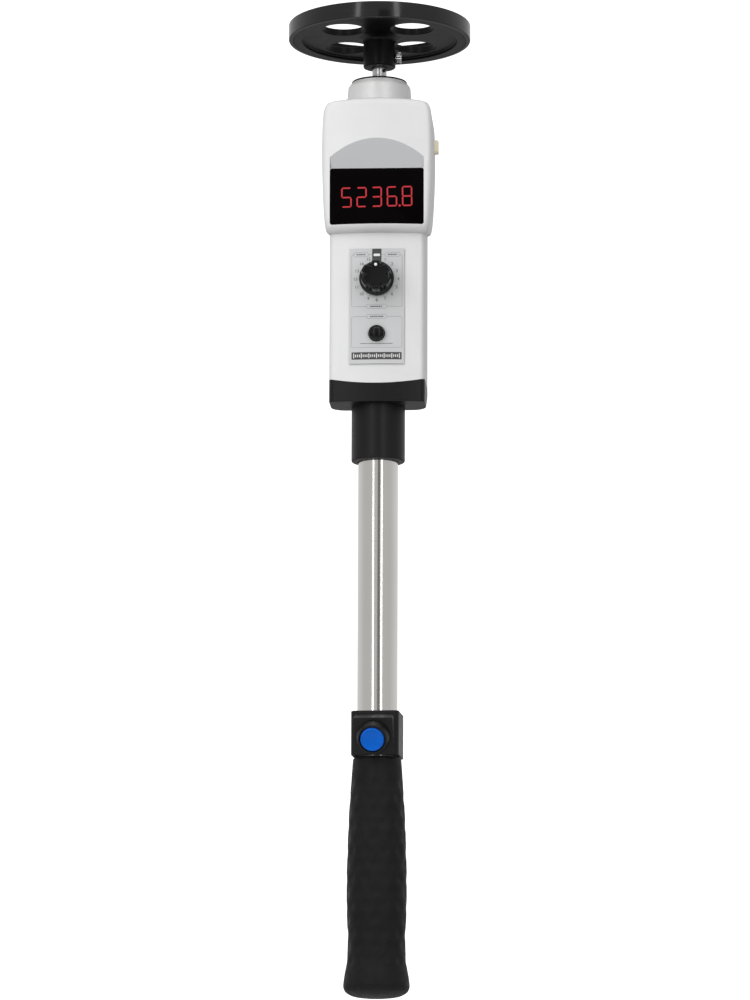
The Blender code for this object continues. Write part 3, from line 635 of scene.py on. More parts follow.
def make_rear_case():
    seat = CASE_BACK - SCREW_SINK
    through = [(0, -10), (1.5, -10), (1.5, seat), (3.0, seat), (3.0, 30), (0, 30)]
    memory = middle("memory_button")
    vents = [box((x - 0.6, 15, 452), (x + 0.6, 30, 458)) for x in range(-12, 13, 3)]
    bm = cut(
        case_loft(),
        case_cavity(),
        box((-60, -60, 290), (60, PARTING_Y + GAP / 2, 490)),
        cylinder(NECK_OPENING_RADIUS, 440, 500, 96),
        seam_side(GAP / 2, above=False),
        box((-15.5, 12, 323.2), (15.5, 30, 428.8)),
        placed(slab(3.8, 3.3, 1.4, 20, 45, 0.05), (0, memory.y, memory.z), FACING_RIGHT),
        *at_screws(lambda: lathe(through, 32)),
        *vents,
    )
    piece("rear_shell", bm, "case", "rear_case", weighted=True)


def make_battery_lid():
    low, high = span("battery_door")
    centre, half = (low + high) / 2, (high - low) / 2
    plate = slab(half.x, half.z, 1.2, low.y, high.y, 0.3)
    ridges = []
    for i in range(7):
        ridges.append(slab(6.5, 0.45, 0.4, high.y - 0.5, high.y + 0.35, 0.25, (0, 38 + 1.9 * i)))
    bm = combined(plate, *[(ADD, ridge) for ridge in ridges])
    # the plate is made lying down: its y and z change places, so that its outside faces +Y
    bm.transform(Matrix(((1, 0, 0, 0), (0, 0, 1, 0), (0, 1, 0, centre.z), (0, 0, 0, 1))))
    piece("battery_lid", bm, "case", "battery_door", body="battery_cover", weighted=True)


def cross_recess(top, reach=1.5, half=0.3, depth=0.9):
    """The two crossed slots of a screw head."""
    return [box((-x, -y, top - depth), (x, y, top + 1)) for x, y in ((reach, half), (half, reach))]


def make_case_screws():
    for name in SCREW_NAMES:
        low, high = span(name)
        at = (low + high) / 2
        top, seat = high.y, high.y - 1.7
        shank = [(0, low.y), (1.0, low.y, 0.2), (1.0, seat)]
        head = [(2.6, seat), (2.6, top, 0.6), (0, top + 0.05)]
        bm = cut(turned(shank + head, 40), *cross_recess(top))
        piece(f"{name}_head", bm, "chrome", name, slot="steel", at=(at.x, 0, at.z), turn=FACING_BACK)


def make_window():
    bm = slab(window_half.x, window_half.z, 1.1, 0, 2 * window_half.y, 0.15)
    at = (window_centre.x, window_high.y, window_centre.z)
    piece("window_pane", bm, "window", "display_window", at=at, turn=FACING_FRONT)


DIGIT_SEGMENTS = {"5": "acdfg", "2": "abdeg", "3": "abcdg", "6": "acdefg", "8": "abcdefg"}
DIGIT_WIDTH, DIGIT_HEIGHT, DIGIT_STROKE, DIGIT_PITCH = 5.5, 10.9, 0.76, 8.0
READING = "52368"
DISPLAY_LEVEL = 419.2
DISPLAY_SKEW = radians(1.0)  # the reading sits a little off level behind its window


def bar(start, stop, width, low, high):
    """A display segment: a bar with pointed, slightly blunt ends."""
    along = (Vector(stop) - Vector(start)).normalized()
    side = Vector((-along.y, along.x)) * width / 2
    a, b = Vector(start), Vector(stop)
    tip, blunt = along * width / 2, side * 0.25
    outline = [a - blunt, a + blunt, a + tip + side, b - tip + side]
    outline += [b + blunt, b - blunt, b - tip - side, a + tip - side]
    return prism([tuple(point) for point in outline], low, high)


def make_digits():
    x, y = (DIGIT_WIDTH - DIGIT_STROKE) / 2, (DIGIT_HEIGHT - DIGIT_STROKE) / 2
    inset, height = 0.16, 0.08
    ends = {
        "a": ((-x, y), (x, y)),
        "b": ((x, y), (x, 0)),
        "c": ((x, 0), (x, -y)),
        "d": ((-x, -y), (x, -y)),
        "e": ((-x, 0), (-x, -y)),
        "f": ((-x, y), (-x, 0)),
        "g": ((-x, 0), (x, 0)),
    }
    bars = []
    for i, digit in enumerate(READING):
        centre = Vector(((i - (len(READING) - 1) / 2) * DIGIT_PITCH, 0))
        for segment in DIGIT_SEGMENTS[digit]:
            start, stop = (Vector(end) for end in ends[segment])
            along = (stop - start).normalized() * inset
            bars.append(bar(start + along + centre, stop - along + centre, DIGIT_STROKE, 0, height))
    point = ((len(READING) / 2 - 1) * DIGIT_PITCH, -y)
    bars.append(placed(cylinder(0.6, 0, height, 24), (*point, 0)))
    at = (0, window_low.y, DISPLAY_LEVEL)
    digits = placed(joined(*bars), turn=(0, 0, DISPLAY_SKEW))
    piece("display_digits", digits, "lit", at=at, turn=FACING_FRONT)


# ---- panel

LABEL_LIFT = GAP + 0.5  # overlay's face above the case
PRINT_HEIGHT = 0.06
FRAME_HALF = 13.3
FRAME_STROKE = 0.32
PRINT_STEP = 1.4  # longest stretch of print that stays straight on the crowned face
UPPER_FRAME, LOWER_FRAME = (360.8, 388.7), (338.8, 355.4)  # lowest and highest level of a frame
CAPTION_HALF, CAPTION_CORNER = 1.1, 1.05  # half height and corner of a border round a caption
MIDDLE_CAPTION = 5.3  # half width of a caption in the middle
SIDE_CAPTION = (4.3, 12.2)  # where the captions on both sides begin and end
STEM_HALF = 2.45
DIAL_POSITIONS = 16
DIAL_RADIUS = 11.4
DIAL_MARK = (9.5, 10.2)


def wrapped(bm, lift=LABEL_LIFT):
    """Lays a flat print, x by level with its height along Z, onto the crowned front."""
    for vert in bm.verts:
        x, level, height = vert.co
        vert.co = (x, -(front_of(x) + lift + height), level)
    return bm


def dense(path):
    made = []
    for start, stop in zip(path, path[1:]):
        count = max(1, ceil((Vector(stop) - Vector(start)).length / PRINT_STEP))
        made += [Vector(start).lerp(Vector(stop), i / count) for i in range(count)]
    return made + [Vector(path[-1])]


def stroke(path, width, low=-0.05, high=PRINT_HEIGHT):
    """A printed line along a flat path. It closes when the path ends where it started."""
    points = dense(path)
    closed = (points[0] - points[-1]).length < 1e-6
    if closed:
        points.pop()
    bm = bmesh.new()
    rows = []
    for i, point in enumerate(points):
        before = points[i - 1] if closed or i else point
        after = points[(i + 1) % len(points)] if closed or i + 1 < len(points) else point
        along = (after - before).normalized()
        side = Vector((-along.y, along.x)) * width / 2
        corners = [(point - side, low), (point + side, low), (point + side, high), (point - side, high)]
        rows.append([bm.verts.new((*corner, level)) for corner, level in corners])
    for lower, upper in zip(rows, rows[1:]):
        bridge(bm, lower, upper)
    if closed:
        bridge(bm, rows[-1], rows[0])
    else:
        bm.faces.new(rows[0])
        bm.faces.new(rows[-1])
    return bm


def field(x0, x1, z0, z1, radius=0.3, low=-0.05, high=PRINT_HEIGHT):
    """A printed field with rounded corners, in upright strips so that it can follow the crown."""
    columns = []
    width = x1 - x0 - 2 * radius
    count = max(2, ceil(width / PRINT_STEP))
    arc = [radius * (1 - cos(pi / 2 * i / 3)) for i in range(3)]
    xs = [x0 + a for a in arc] + [x0 + radius + width * i / count for i in range(count + 1)]
    xs += [x1 - a for a in reversed(arc)]
    for x in xs:
        reach = max(0.0, radius - min(x - x0, x1 - x))
        pull = radius - sqrt(max(0.0, radius**2 - reach**2)) if reach else 0.0
        bottom, top = z0 + pull, z1 - pull
        columns.append([(x, bottom, low), (x, top, low), (x, top, high), (x, bottom, high)])
    return loft(columns)


def caption_border(x0, x1, level):
    points = rounded_rectangle((x1 - x0) / 2, CAPTION_HALF, CAPTION_CORNER, 5)
    points = [(x + (x0 + x1) / 2, z + level) for x, z in points]
    return stroke(points + points[:1], FRAME_STROKE)


def broken_frame(far, near, gap_half, radius=1.0):
    """A panel frame with an opening in its near side, as an open path."""
    right = [(gap_half, near), (FRAME_HALF, near, radius), (FRAME_HALF, far, radius)]
    return filleted(right + [(-FRAME_HALF, far, radius), (-FRAME_HALF, near, radius), (-gap_half, near)])


def numeral(text, x, level, size):
    """A dial figure as a thin closed shape."""
    curve = bpy.data.curves.new("figure", "FONT")
    curve.body, curve.size, curve.extrude = text, size, 0.05
    curve.align_x = curve.align_y = "CENTER"
    curve.resolution_u = 3
    made = added("figure", curve)
    mesh = made.evaluated_get(bpy.context.evaluated_depsgraph_get()).to_mesh()
    bm = bmesh.new()
    bm.from_mesh(mesh)
    bpy.data.objects.remove(made)
    bpy.data.curves.remove(curve)
    return placed(bm, (x, level, 0.01))


def dashes(x0, x1, level, height, seed, widths=(0.5, 1.1), gap=0.35):
    """A row of short strokes that stands for a line of small print."""
    draw = random.Random(seed)
    made, x = [], x0
    while x < x1 - widths[0]:
        stop = min(x + draw.uniform(*widths), x1)
        made.append(stroke([(x, level), (stop, level)], height))
        x = stop + gap
    return made


def make_panel():
    low, high = span("panel_label")
    knob = middle("selector_knob").z
    steps = 24
    xs = [low.x + (high.x - low.x) * i / steps for i in range(steps + 1)]
    front = [(x, -front_of(x) - LABEL_LIFT) for x in xs]
    back = [(x, -front_of(x) - GAP) for x in reversed(xs)]
    bm = cut(
        loft([[(x, y, level) for x, y in front + back] for level in (low.z, high.z)]),
        drill(4.2, knob),
        drill(4.5, middle("measure_button").z),
    )
    piece("panel_overlay", bm, "label", "panel_label")

    (upper_low, upper_high), lower_high = UPPER_FRAME, LOWER_FRAME[1]
    stem = field(-STEM_HALF, STEM_HALF, knob + 8.0, high.z - 0.2)
    dark = [stem, field(-13.15, 13.15, 332.4, 336.3)]
    grey = [stroke(broken_frame(*LOWER_FRAME, MIDDLE_CAPTION), FRAME_STROKE)]
    for level in (upper_low, lower_high):
        grey.append(caption_border(-MIDDLE_CAPTION, MIDDLE_CAPTION, level))
    for side in (-1, 1):
        x0, x1 = sorted(side * x for x in SIDE_CAPTION)
        border = [(MIDDLE_CAPTION, upper_low), (FRAME_HALF, upper_low, 1.0)]
        border += [(FRAME_HALF, upper_high, 1.0), (SIDE_CAPTION[1], upper_high)]
        grey.append(stroke([(side * x, z) for x, z in filleted(border)], FRAME_STROKE))
        between = [(side * STEM_HALF, upper_high), (side * SIDE_CAPTION[0], upper_high)]
        grey.append(stroke(between, FRAME_STROKE))
        grey.append(caption_border(x0, x1, upper_high))
        dark += dashes(x0 + 1.6, x1 - 1.6, upper_high, 0.6, side + 5)
    dark += dashes(-3.4, 3.4, upper_low, 0.65, 3)
    dark += dashes(-3.4, 3.4, lower_high, 0.65, 4)
    dark += dashes(-8.5, 8.5, 340.9, 0.38, 8, (0.4, 0.9), 0.3)
    for i in range(1, DIAL_POSITIONS):
        angle = pi / 2 - FULL_TURN * i / DIAL_POSITIONS
        x, z = cos(angle), sin(angle)
        grey.append(stroke([(reach * x, knob + reach * z) for reach in DIAL_MARK], 0.3))
        dark.append(numeral(str(i), DIAL_RADIUS * x, knob + DIAL_RADIUS * z, 2.3))
    piece("panel_print", wrapped(joined(*dark)), "print")
    piece("panel_print_grey", wrapped(joined(*grey)), "print_grey")

    on_dark = (PRINT_HEIGHT - 0.03, PRINT_HEIGHT + 0.03)
    light = [field(-1.7, 1.7, 387.8, 389.1, 0.4, *on_dark)]
    ticks, level, half = 25, 334.35, 0.22
    for i in range(ticks):
        x = 24.0 * (i / (ticks - 1) - 0.5)
        reach = 1.25 if i % 4 == 0 else 0.7
        light.append(field(x - half, x + half, level - reach, level + reach, 0.1, *on_dark))
    piece("panel_print_light", wrapped(joined(*light)), "print_light")


def make_knob():
    low, high = span("selector_knob")
    base, top = -high.y, -low.y
    skirt = (high.x - low.x) / 2
    grip_start, flutes, flute_depth = base + 2.9, 6, 2.3
    profile = filleted(
        [(0, base), (skirt, base, 0.2), (skirt, base + 1.9, 0.7), (8.5, base + 2.5, 0.4)]
        + [(8.15, base + 3.2, 0.4), (7.9, top, 1.1), (6.6, top, 0.3), (6.3, top - 0.45, 0.3)]
        + [(0, top - 0.45)]
    )

    def scalloped(radius, angle, height):
        if height < grip_start or radius < 6.5:
            return radius
        share = min(1.0, (height - grip_start) / 1.2)
        wave = max(0.0, cos(flutes * angle))
        return radius - flute_depth * share * wave

    place = {"body": "selector", "at": (0, 0, (low.z + high.z) / 2), "turn": FACING_FRONT}
    dot_at = (0, 5.4, 0)
    bore = cylinder(3.3, base - 1, top - 1.6)
    seat = placed(cylinder(0.87, top - 0.8, top + 20, 32), dot_at)
    bm = cut(lathe(profile, 216, scalloped), bore, seat)
    piece("selector_cap", bm, "knob", "selector_knob", **place)
    dot = turned([(0, top - 0.8), (0.82, top - 0.8), (0.82, top + 0.08, 0.2), (0, top + 0.12)], 32)
    piece("selector_dot", placed(dot, dot_at), "pointer", "knob_pointer_dot", slot="white", **place)


def make_keys():
    low, high = span("measure_button")
    top = -low.y
    radius, rise = 4.1, 2.2
    profile = [(0, 10.9), (1.4, 10.9), (1.4, 14.2), (5.6, 14.2), (5.6, 15.4), (radius, 15.4)]
    for i in range(12):
        angle = pi / 2 * i / 12
        profile.append((radius * cos(angle), top - rise + rise * sin(angle)))
    bm = lathe(profile + [(0, top)], 64)
    at = (0, 0, (low.z + high.z) / 2)
    piece("measure_key_cap", bm, "knob", "measure_button", body="measure_key", at=at, turn=FACING_FRONT)

    low, high = span("memory_button")
    place = {"at": (0, (low.y + high.y) / 2, (low.z + high.z) / 2), "turn": FACING_RIGHT}
    cap = combined(
        slab(3.5, 3.0, 1.2, high.x - 5.4, high.x, 0.5),
        (ADD, slab(4.5, 3.9, 1.2, 25.1, 26.2, 0.1)),
        (ADD, cylinder(1.3, low.x, 25.4, 24)),
        (CUT, placed(lathe([(0, 0), (9, 8), (0, 8)], 48), (0, 0, high.x - 0.35))),
    )
    piece("memory_key_cap", cap, "cream", "memory_button", body="memory_key", **place)


# ---- neck, spindle and wheel


def make_neck():
    low, high = span("sensor_neck")
    profile = filleted(
        [(11.3, low.z), (20.4, low.z, 0.3), (20.4, 464.6, 0.5), (17.05, 464.6, 0.4), (17.05, 478.0, 2.0)]
        + [(16.6, 483.6, 2.0), (14.8, high.z, 0.4), (11.3, high.z), (11.3, 477.8), (9.4, 477.8)]
        + [(9.4, 468.8), (11.3, 468.8)]
    )
    bm = cut(lathe(profile, 128), box((-30, 17.3, 459), (30, 30, 466)))
    piece("bearing_neck", bm, "neck", "sensor_neck", weighted=True)
    low, high = span("neck_seal")
    bore = 5.2
    profile = [(bore, low.z), (high.x, low.z), (high.x, high.z, 0.2), (bore, high.z, 0.2)]
    piece("neck_top_seal", turned(profile, 96, closed=True), "black", "neck_seal")


def make_spindle():
    low, high = span("spindle")
    radius = high.x
    profile = filleted(
        [(0, low.z), (radius, low.z, 0.7), (radius, 489.6), (radius - 0.25, 489.7), (radius - 0.25, 490.2)]
        + [(radius, 490.3), (radius, high.z, 0.7), (0, high.z)]
    )
    pin_low, pin_high = span("drive_pin")
    pin = (pin_low + pin_high) / 2
    across = {"at": (0, 0, pin.z), "turn": (pi / 2, 0, radians(40))}
    bm = cut(lathe(profile, 64), placed(cylinder(1.0, -20, 20, 24), **across))
    piece("spindle_shaft", bm, "steel", "spindle", body="wheel_spindle")
    rod = turned([(0, -4.9), (0.85, -4.9, 0.2), (0.85, 4.9, 0.2), (0, 4.9)], 24)
    piece("spindle_pin", rod, "black", "drive_pin", body="wheel_spindle", **across)


def make_wheel():
    low, high = span("contact_wheel")
    rim = high.x
    hub, rim_inner = 8.6, 41.3
    web_low, web_high = 511.2, 514.8
    rim_low = span("wheel_tyre")[0].z
    foot, bore, bore_top = 11.5, 4.15, 510.0
    profile = filleted(
        [(bore, bore_top), (bore, low.z, 0.5), (hub, low.z, 0.7), (hub, rim_low, 1.8), (foot, web_low, 2.0)]
        + [(rim_inner, web_low, 0.7), (rim_inner, rim_low, 0.5), (rim, rim_low, 0.3), (rim, high.z, 0.3)]
        + [(rim_inner, high.z, 0.5), (rim_inner, web_high, 0.7), (foot, web_high, 1.0)]
        + [(hub, high.z - 0.6, 0.8), (hub - 1.2, high.z, 0.4), (0, high.z)]
    )
    wheel = lathe([(0, bore_top)] + profile, 192)
    radius, pitch, edge = 11.3, 25.6, 0.2
    wide, below, above = radius + edge, web_low - 6, web_high + 6
    hole = [(0, below), (wide, below), (wide, web_low), (radius, web_low + edge)]
    hole += [(radius, web_high - edge), (wide, web_high), (wide, above), (0, above)]
    holes = []
    for i in range(4):
        angle = pi / 4 + pi / 2 * i
        holes.append(placed(lathe(hole, 64), (*polar(pitch, angle), 0)))
    level = middle("wheel_thumb_screw").z
    screw_hole = placed(cylinder(1.6, 0, 20, 24), (0, 0, level), FACING_RIGHT)
    bm = cut(wheel, *holes, screw_hole)
    piece("wheel_disc", bm, "wheel", "contact_wheel", body="wheel_spindle", weighted=True)

    low, high = span("wheel_tyre")
    inner = rim + 0.15
    bm = turned([(inner, low.z), (high.x, low.z, 0.7), (high.x, high.z, 0.7), (inner, high.z)], 192)
    piece("wheel_tread", bm, "tyre", "wheel_tyre", body="wheel_spindle")

    ridges = 22

    def knurl(radius, angle, height):
        ridged = radius > 2.9 and 9.2 < height < 11.4
        return radius + (0.16 * cos(ridges * angle) - 0.12 if ridged else 0)

    profile = filleted(
        [(0, 4.3), (1.3, 4.3), (1.3, 8.9), (2.7, 8.9, 0.2), (3.2, 9.25), (3.2, 9.5), (3.2, 10.3)]
        + [(3.2, 11.1), (3.2, 11.35), (2.8, 11.7, 0.2), (1.9, 11.7, 0.2), (1.7, 11.45, 0.1), (0, 11.45)]
    )
    screw = placed(lathe(profile, 132, knurl), (0, 0, level), FACING_RIGHT)
    piece("wheel_screw", screw, "chrome", "wheel_thumb_screw", body="wheel_spindle", slot="steel")


# ---- pole and handle


TUBE_SOCKET_RADIUS = 10.8
TUBE_WALL = 1.2


def make_adapter():
    low, high = span("pole_adapter")
    radius = 14.1
    edge = 0.7
    back, slope, corner = 8.5, 1.5, 8.0  # the underside ends early and then slopes up to the back
    rows = []
    for a in (pi / 2 * i / 4 for i in range(5)):
        rise = edge * (1 - cos(a))
        rows.append((CAP_BOTTOM + rise, edge * (1 - sin(a)), back + slope * rise, corner))
    full = (CASE_BACK, BACK_CORNER)
    rows += [(316.0, 0, 16.9, 5.6), (317.4, 0, 18.7, 4.6), (318.8, 0, 19.7, 4.1), (320.5, 0, *full)]

    def cap(rows):
        made = []
        for level, inset, back, corner in rows:
            outline = case_outline(CASE_HALF_WIDTH, CASE_FRONT, back, inset, corner)
            made.append([(x, y, level) for x, y in outline])
        return loft(made, striped=True)

    hollow = cap([(314.9, 2.4, 14.0, 7.0), (319.5, 2.4, *full), (340.0, 2.4, *full)])
    profile = [(0, low.z), (radius, low.z, 1.0), (radius, CAP_BOTTOM + 3.5), (0, CAP_BOTTOM + 3.5)]
    bm = combined(
        cap(rows + [(SEAM + 8, 0, *full)]),
        (CUT, seam_side(-GAP / 2, above=True)),
        (CUT, hollow),
        (ADD, turned(profile, 128)),
        (CUT, cylinder(TUBE_SOCKET_RADIUS, low.z - 5, 305.8, 128)),
        (CUT, cylinder(3.0, low.z, SEAM + 30)),
        (CUT, placed(cylinder(2.3, 5, 30, 32), (0, 0, middle("collar_screw").z), FACING_BACK)),
    )
    piece("cap_and_collar", bm, "collar", "pole_adapter", slot="black", weighted=True)

    low, high = span("collar_screw")
    stud = turned([(0, low.y), (2.0, low.y), (2.0, high.y, 0.3), (0, high.y)], 32)
    hexagon = [polar(1.1, pi / 3 * i) for i in range(6)]
    bm = cut(stud, prism(hexagon, high.y - 1.4, 30))
    at = (0, 0, (low.z + high.z) / 2)
    piece("collar_set_screw", bm, "steel", "collar_screw", at=at, turn=FACING_BACK)


BLOCK_TURN = radians(-3.8)
BLOCK_HALF = 12.55
SWITCH_TILT = radians(22)
SWITCH_REACH = 16.4
SWITCH_PLACE = {
    "at": (SWITCH_REACH * sin(BLOCK_TURN), -SWITCH_REACH * cos(BLOCK_TURN), 133.7),
    "turn": (pi / 2 + SWITCH_TILT, 0, BLOCK_TURN),
}
BUTTON_RADIUS = 6.4
BEZEL_RADIUS = 8.7
BEZEL_HEIGHT = 5.5


def make_tube():
    low, high = span("pole_tube")
    radius, bore = high.x, high.x - TUBE_WALL
    profile = [(bore, low.z, 0.2), (radius, low.z, 0.3), (radius, high.z, 0.3), (bore, high.z, 0.2)]
    window = placed(cylinder(6.0, -15.5, 5.0), **SWITCH_PLACE)
    bm = cut(turned(profile, 144, closed=True), window)
    piece("pole_steel", bm, "tube", "pole_tube", weighted=True)


def make_switch_block():
    low, high = span("switch_block")
    bm = combined(
        placed(slab(BLOCK_HALF, BLOCK_HALF, 3.0, low.z, high.z, 0.45), turn=(0, 0, BLOCK_TURN)),
        (ADD, placed(slab(10.3, 10.3, 0.8, -9.0, 0.0, 0.4), **SWITCH_PLACE)),
        (CUT, box((-30, -30, low.z - 20), (30, 30, low.z + 0.02))),
        (CUT, cylinder(TUBE_SOCKET_RADIUS, low.z - 5, high.z + 5, 96)),
        (CUT, placed(cylinder(5.7, -15.5, 5.0), **SWITCH_PLACE)),
    )
    piece("switch_housing", bm, "black", "switch_block", weighted=True)
    bore = BUTTON_RADIUS + GAP
    profile = [(bore, GAP), (BEZEL_RADIUS, GAP, 0.2), (BEZEL_RADIUS, 1.2, 0.4), (7.6, BEZEL_HEIGHT, 0.3)]
    profile.append((bore, BEZEL_HEIGHT, 0.25))
    piece("switch_ring", turned(profile, 96, closed=True), "black", "switch_bezel", **SWITCH_PLACE)
    face = BEZEL_HEIGHT + 0.9
    skirt, dome = BUTTON_RADIUS, 6.05
    profile = filleted(
        [(0, -1.2), (2.4, -1.2), (2.4, 2.6), (skirt, 2.6), (skirt, face - 1.5, 0.15), (dome, face - 1.35)]
        + [(dome, face - 0.15, 0.6), (dome - 0.9, face, 0.5)]
    )
    dish = 5.0
    profile += [(dish * (1 - i / 8), face - 0.15 - 0.55 * (1 - (1 - i / 8) ** 2)) for i in range(9)]
    bm = lathe(profile, 96)
    made = piece("switch_button", bm, "blue", "thumb_button", body="thumb_key", **SWITCH_PLACE)
    out = Euler(SWITCH_PLACE["turn"]).to_matrix() @ Vector((0, 0, 1))
    # the skirt below the dome is painted dark blue: painted shade of the gap between button and bezel
    second_skin(made, "blue_dark", lambda at, _: (at - Vector(SWITCH_PLACE["at"])).dot(out) < face - 1.36)


GRIP_OUTLINE = (  # level, radius
    (0.0, 6.0), (0.5, 10.5), (1.7, 14.0), (3.6, 16.4), (6.2, 17.2), (10.5, 16.75), (16.0, 15.8),
    (23.0, 15.1), (31.0, 14.9), (40.0, 15.3), (50.0, 15.6), (62.0, 15.6), (76.0, 15.25), (90.0, 14.8),
    (102.0, 14.15), (113.0, 13.35), (120.5, 12.85), (123.8, 12.55),
)
DIMPLE_ROWS, DIMPLE_COLUMNS = 14, 10
DIMPLE_START, DIMPLE_PITCH = 19.0, 7.0
DIMPLE_DEPTH = 0.42
DIMPLE_HALF_WIDTH, DIMPLE_HALF_HEIGHT = 3.3, 3.4


def dimpled(radius, angle, level):
    """Staggered oval hollows round the grip, which fade out at both ends."""
    if radius < 12.4 or not 12.0 < level < 119.0:
        return radius
    row = (level - DIMPLE_START) / DIMPLE_PITCH
    depth = 0.0
    for near in (floor(row), floor(row) + 1):
        if not 0 <= near < DIMPLE_ROWS:
            continue
        column = angle / FULL_TURN * DIMPLE_COLUMNS + 0.5 * (near % 2)
        across = (column - round(column)) * FULL_TURN * radius / DIMPLE_COLUMNS / DIMPLE_HALF_WIDTH
        along = (row - near) * DIMPLE_PITCH / DIMPLE_HALF_HEIGHT
        distance = across**2 + along**2
        if distance < 1:
            depth = max(depth, (1 - distance) ** 1.3)
    unevenness = 0.05 * noise.noise((radius * cos(angle) / 4, angle, level / 4))
    return radius - DIMPLE_DEPTH * depth + unevenness


def make_grip():
    top = span("hand_grip")[1].z
    bore, lip = TUBE_SOCKET_RADIUS, 11.8
    levels = steps_between(0.0, 6.2, 16) + steps_between(6.2, 14.0, 8) + steps_between(14.0, 118.0, 150)
    levels += steps_between(118.0, 123.8, 6)
    profile = [(0, 0)] + [(smooth_value(GRIP_OUTLINE, 1, level), level) for level in levels]
    profile += filleted([(12.55, 123.8), (12.3, 124.2, 0.3), (lip, 124.2), (lip, top, 0.15), (bore, top)])
    profile += [(bore, 12.0), (0, 12.0)]
    piece("rubber_grip", lathe(profile, 144, dimpled), "grip", "hand_grip")


# ---- inside


def make_cells():
    for i in range(1, 5):
        low, high = span(f"battery_{i}")
        centre = (low + high) / 2
        radius = (high.x - low.x) / 2
        crimp = high.z - 1.4
        profile = [(0, low.z), (5.6, low.z, 0.3), (6.0, low.z + 0.25), (radius, low.z + 0.4, 0.4)]
        profile += [(radius, crimp - 0.6, 0.5), (6.3, crimp, 0.3), (2.9, crimp, 0.2)]
        profile += [(2.7, high.z, 0.4), (0, high.z)]
        made = piece(f"cell_{i}", placed(turned(profile), (centre.x, centre.y, 0)), "cell", f"battery_{i}")
        made.data.materials.append(SKIN["cell_band"])
        made.data.materials.append(SKIN["brass"])
        for face in made.data.polygons:
            level = face.center.z / MM
            if level > crimp - 0.4 or level < low.z + 0.3:
                face.material_index = 2
            elif level > high.z - 15:
                face.material_index = 1


KEPT = {  # skins of the CAD nodes inside the case
    "brass": ("battery_contact_lower", "battery_contact_upper"),
    "bearing": ("lower_bearing", "upper_bearing"),
    "board": ("display_board", "main_board"),
    "black": (
        "battery_tray", "display_module", "encoder_disc", "encoder_hub", "measure_switch", "memory_switch",
        "optical_sensor", "selector_switch", "tube_plug",
    ),
    "blue_dark": ("thumb_switch",),
    "cable": ("signal_cable",),
    "plug": ("cable_plug",),
    "steel": ("selector_shaft", "spindle_clip"),
}


def dress_inside():
    for skin, nodes in KEPT.items():
        for node in nodes:
            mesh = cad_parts[node].data
            mesh.materials.clear()
            mesh.materials.append(SKIN[skin])


# ---- light, backdrop and camera

CAMERA_AZIMUTH = radians(3.2)
CAMERA_ELEVATION = radians(-10.0)
CAMERA_DISTANCE_M = 2.521
CAMERA_AIM_M = (-0.0016, 0.0, 0.261)
CAMERA_ROLL = radians(0.2)
LIGHT_AIM_M = (0, 0, 0.30)
LIGHT_DISTANCE_M = 1.8
LIGHTS = (  # name, azimuth from the camera's, elevation, width, height, power, matte
    ("wide_left", -40, 18, 0.8, 2.2, 27, True),
    ("wide_right", 32, 18, 0.7, 2.2, 9, True),
    ("strip_left", -27, 12, 0.17, 2.2, 2.9, False),
    ("strip_right", 21, 12, 0.20, 2.2, 3.2, False),
    ("key_above", 0, 62, 1.6, 1.0, 7, False),
)


def direction(azimuth, elevation):
    """Unit vector from the object: azimuth 0 is towards -Y, positive towards +X."""
    level = cos(elevation)
    return Vector((sin(azimuth) * level, -cos(azimuth) * level, sin(elevation)))


def aimed(made, target, out, distance):
    """Moves an object out from a target and turns it towards the target."""
    made.location = Vector(target) + out * distance
    made.rotation_euler = out.to_track_quat("Z", "Y").to_euler()


def softbox(name, azimuth, elevation, width, height, power, matte):
    """A soft light aimed at the middle of the object. A matte one isn't seen in glossy parts."""
    light = bpy.data.lights.new(name, "AREA")
    light.shape = "RECTANGLE"
    light.size, light.size_y, light.energy = width, height, power
    made = added(name, light)
    out = direction(CAMERA_AZIMUTH + radians(azimuth), radians(elevation))
    aimed(made, LIGHT_AIM_M, out, LIGHT_DISTANCE_M)
    made.visible_camera = False
    made.visible_glossy = not matte


def make_light():
    """A soft surround that brightens towards the back and is dim below the horizon, and five lights."""
    world = bpy.data.worlds.new("studio")
    bpy.context.scene.world = world
    world.use_nodes = True
    tree = world.node_tree
    where = node(tree, "TexCoord").outputs["Generated"]
    parts = node(tree, "SeparateXYZ", Vector=where).outputs
    product = node(tree, "Math")
    product.operation = "MULTIPLY"
    tree.links.new(spread(tree, parts["Y"], 0.47, 0.66, -0.2, 0.9), product.inputs[0])
    tree.links.new(spread(tree, parts["Z"], 0.35, 1.0, -0.12, 0.0), product.inputs[1])
    shade = tree.nodes["Background"].inputs
    tree.links.new(product.outputs["Value"], shade["Strength"])
    shade["Color"].default_value = (1.0, 0.995, 0.985, 1)
    for light in LIGHTS:
        softbox(*light)


def staged(name, bm, material, *unseen):
    """A thing that isn't part of the object, left out of some kinds of light ray."""
    made = as_object(name, bm)
    made.data.materials.append(material)
    for kind in unseen:
        setattr(made, f"visible_{kind}", False)
    return made


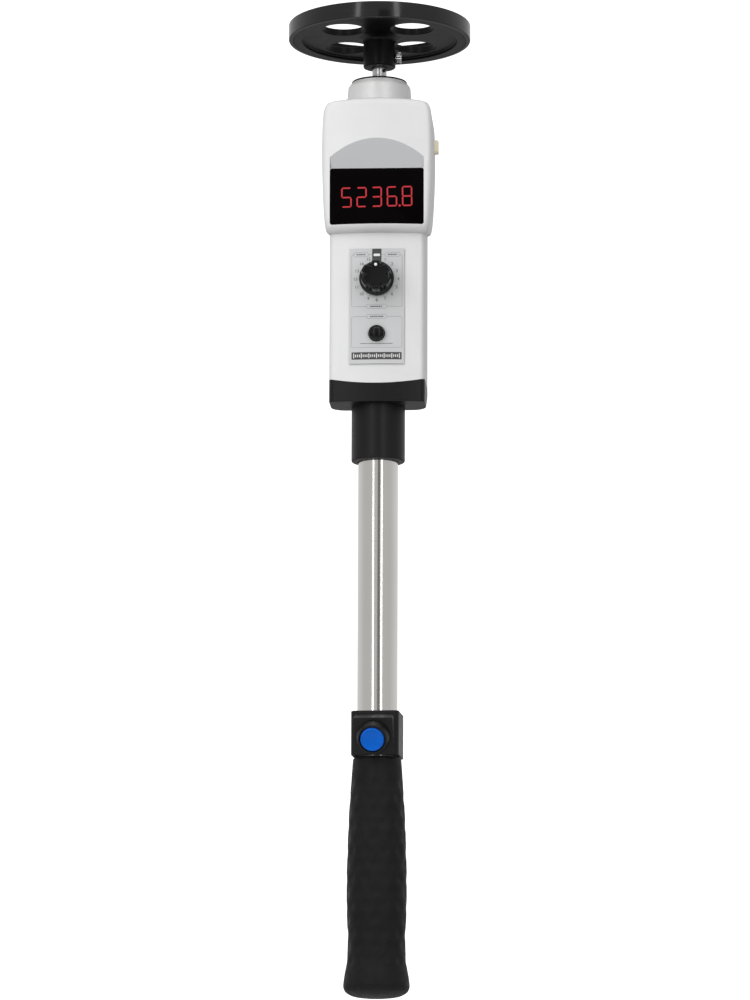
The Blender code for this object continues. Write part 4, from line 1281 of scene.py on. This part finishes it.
def make_stage():
    """A backdrop that only the camera sees, and a pale floor far below the low camera."""
    glow = {"Emission_Color": (1, 1, 1, 1), "Emission_Strength": 1.0}
    white = surface("backdrop_white", (1, 1, 1), 0.9, 0.0, 0.0, **glow)
    bm = bmesh.new()
    bmesh.ops.create_icosphere(bm, subdivisions=4, radius=12.0)
    bmesh.ops.reverse_faces(bm, faces=bm.faces)
    staged("backdrop", bm, white, "diffuse", "glossy", "transmission", "volume_scatter", "shadow")
    pale = surface("floor_pale", (0.86, 0.86, 0.86), 0.7, 0.0, 0.01, 200, grain=0.2, grain_size=20)
    bm = bmesh.new()
    bmesh.ops.create_grid(bm, x_segments=8, y_segments=8, size=4.0)
    staged("floor", bm, pale).location = (0, 0, -1.3)


def make_card():
    """A narrow dark card beside the camera, seen only as the dark line in polished parts."""
    glow = {"Emission_Color": (1, 0.88, 0.8, 1), "Emission_Strength": 0.1}
    dark = surface("card_dark", (0.05, 0.045, 0.04), 0.9, 0.0, 0.0, **glow)
    bm = box((-0.235, -1.1, -0.002), (0.235, 1.1, 0.002))
    bmesh.ops.recalc_face_normals(bm, faces=bm.faces)
    made = staged("card", bm, dark, "camera", "diffuse", "transmission", "volume_scatter", "shadow")
    aimed(made, CAMERA_AIM_M, direction(CAMERA_AZIMUTH + radians(5.5), CAMERA_ELEVATION), 1.8)


def make_camera():
    lens = bpy.data.cameras.new("camera")
    lens.lens = 172.8
    lens.sensor_width = 36.0
    made = added("camera", lens)
    out = direction(CAMERA_AZIMUTH, CAMERA_ELEVATION)
    made.location = Vector(CAMERA_AIM_M) + out * CAMERA_DISTANCE_M
    look = out.to_track_quat("Z", "Y").to_matrix() @ Matrix.Rotation(CAMERA_ROLL, 3, "Z")
    made.rotation_euler = look.to_euler()
    bpy.context.scene.camera = made
    bpy.context.scene.view_settings.view_transform = "Standard"


for make in (
    make_front_case, make_rear_case, make_battery_lid, make_case_screws, make_window, make_digits,
    make_panel, make_knob, make_keys, make_neck, make_spindle, make_wheel, make_adapter, make_tube,
    make_switch_block, make_grip, make_cells, dress_inside, make_light, make_stage, make_card,
    make_camera,
):
    make()
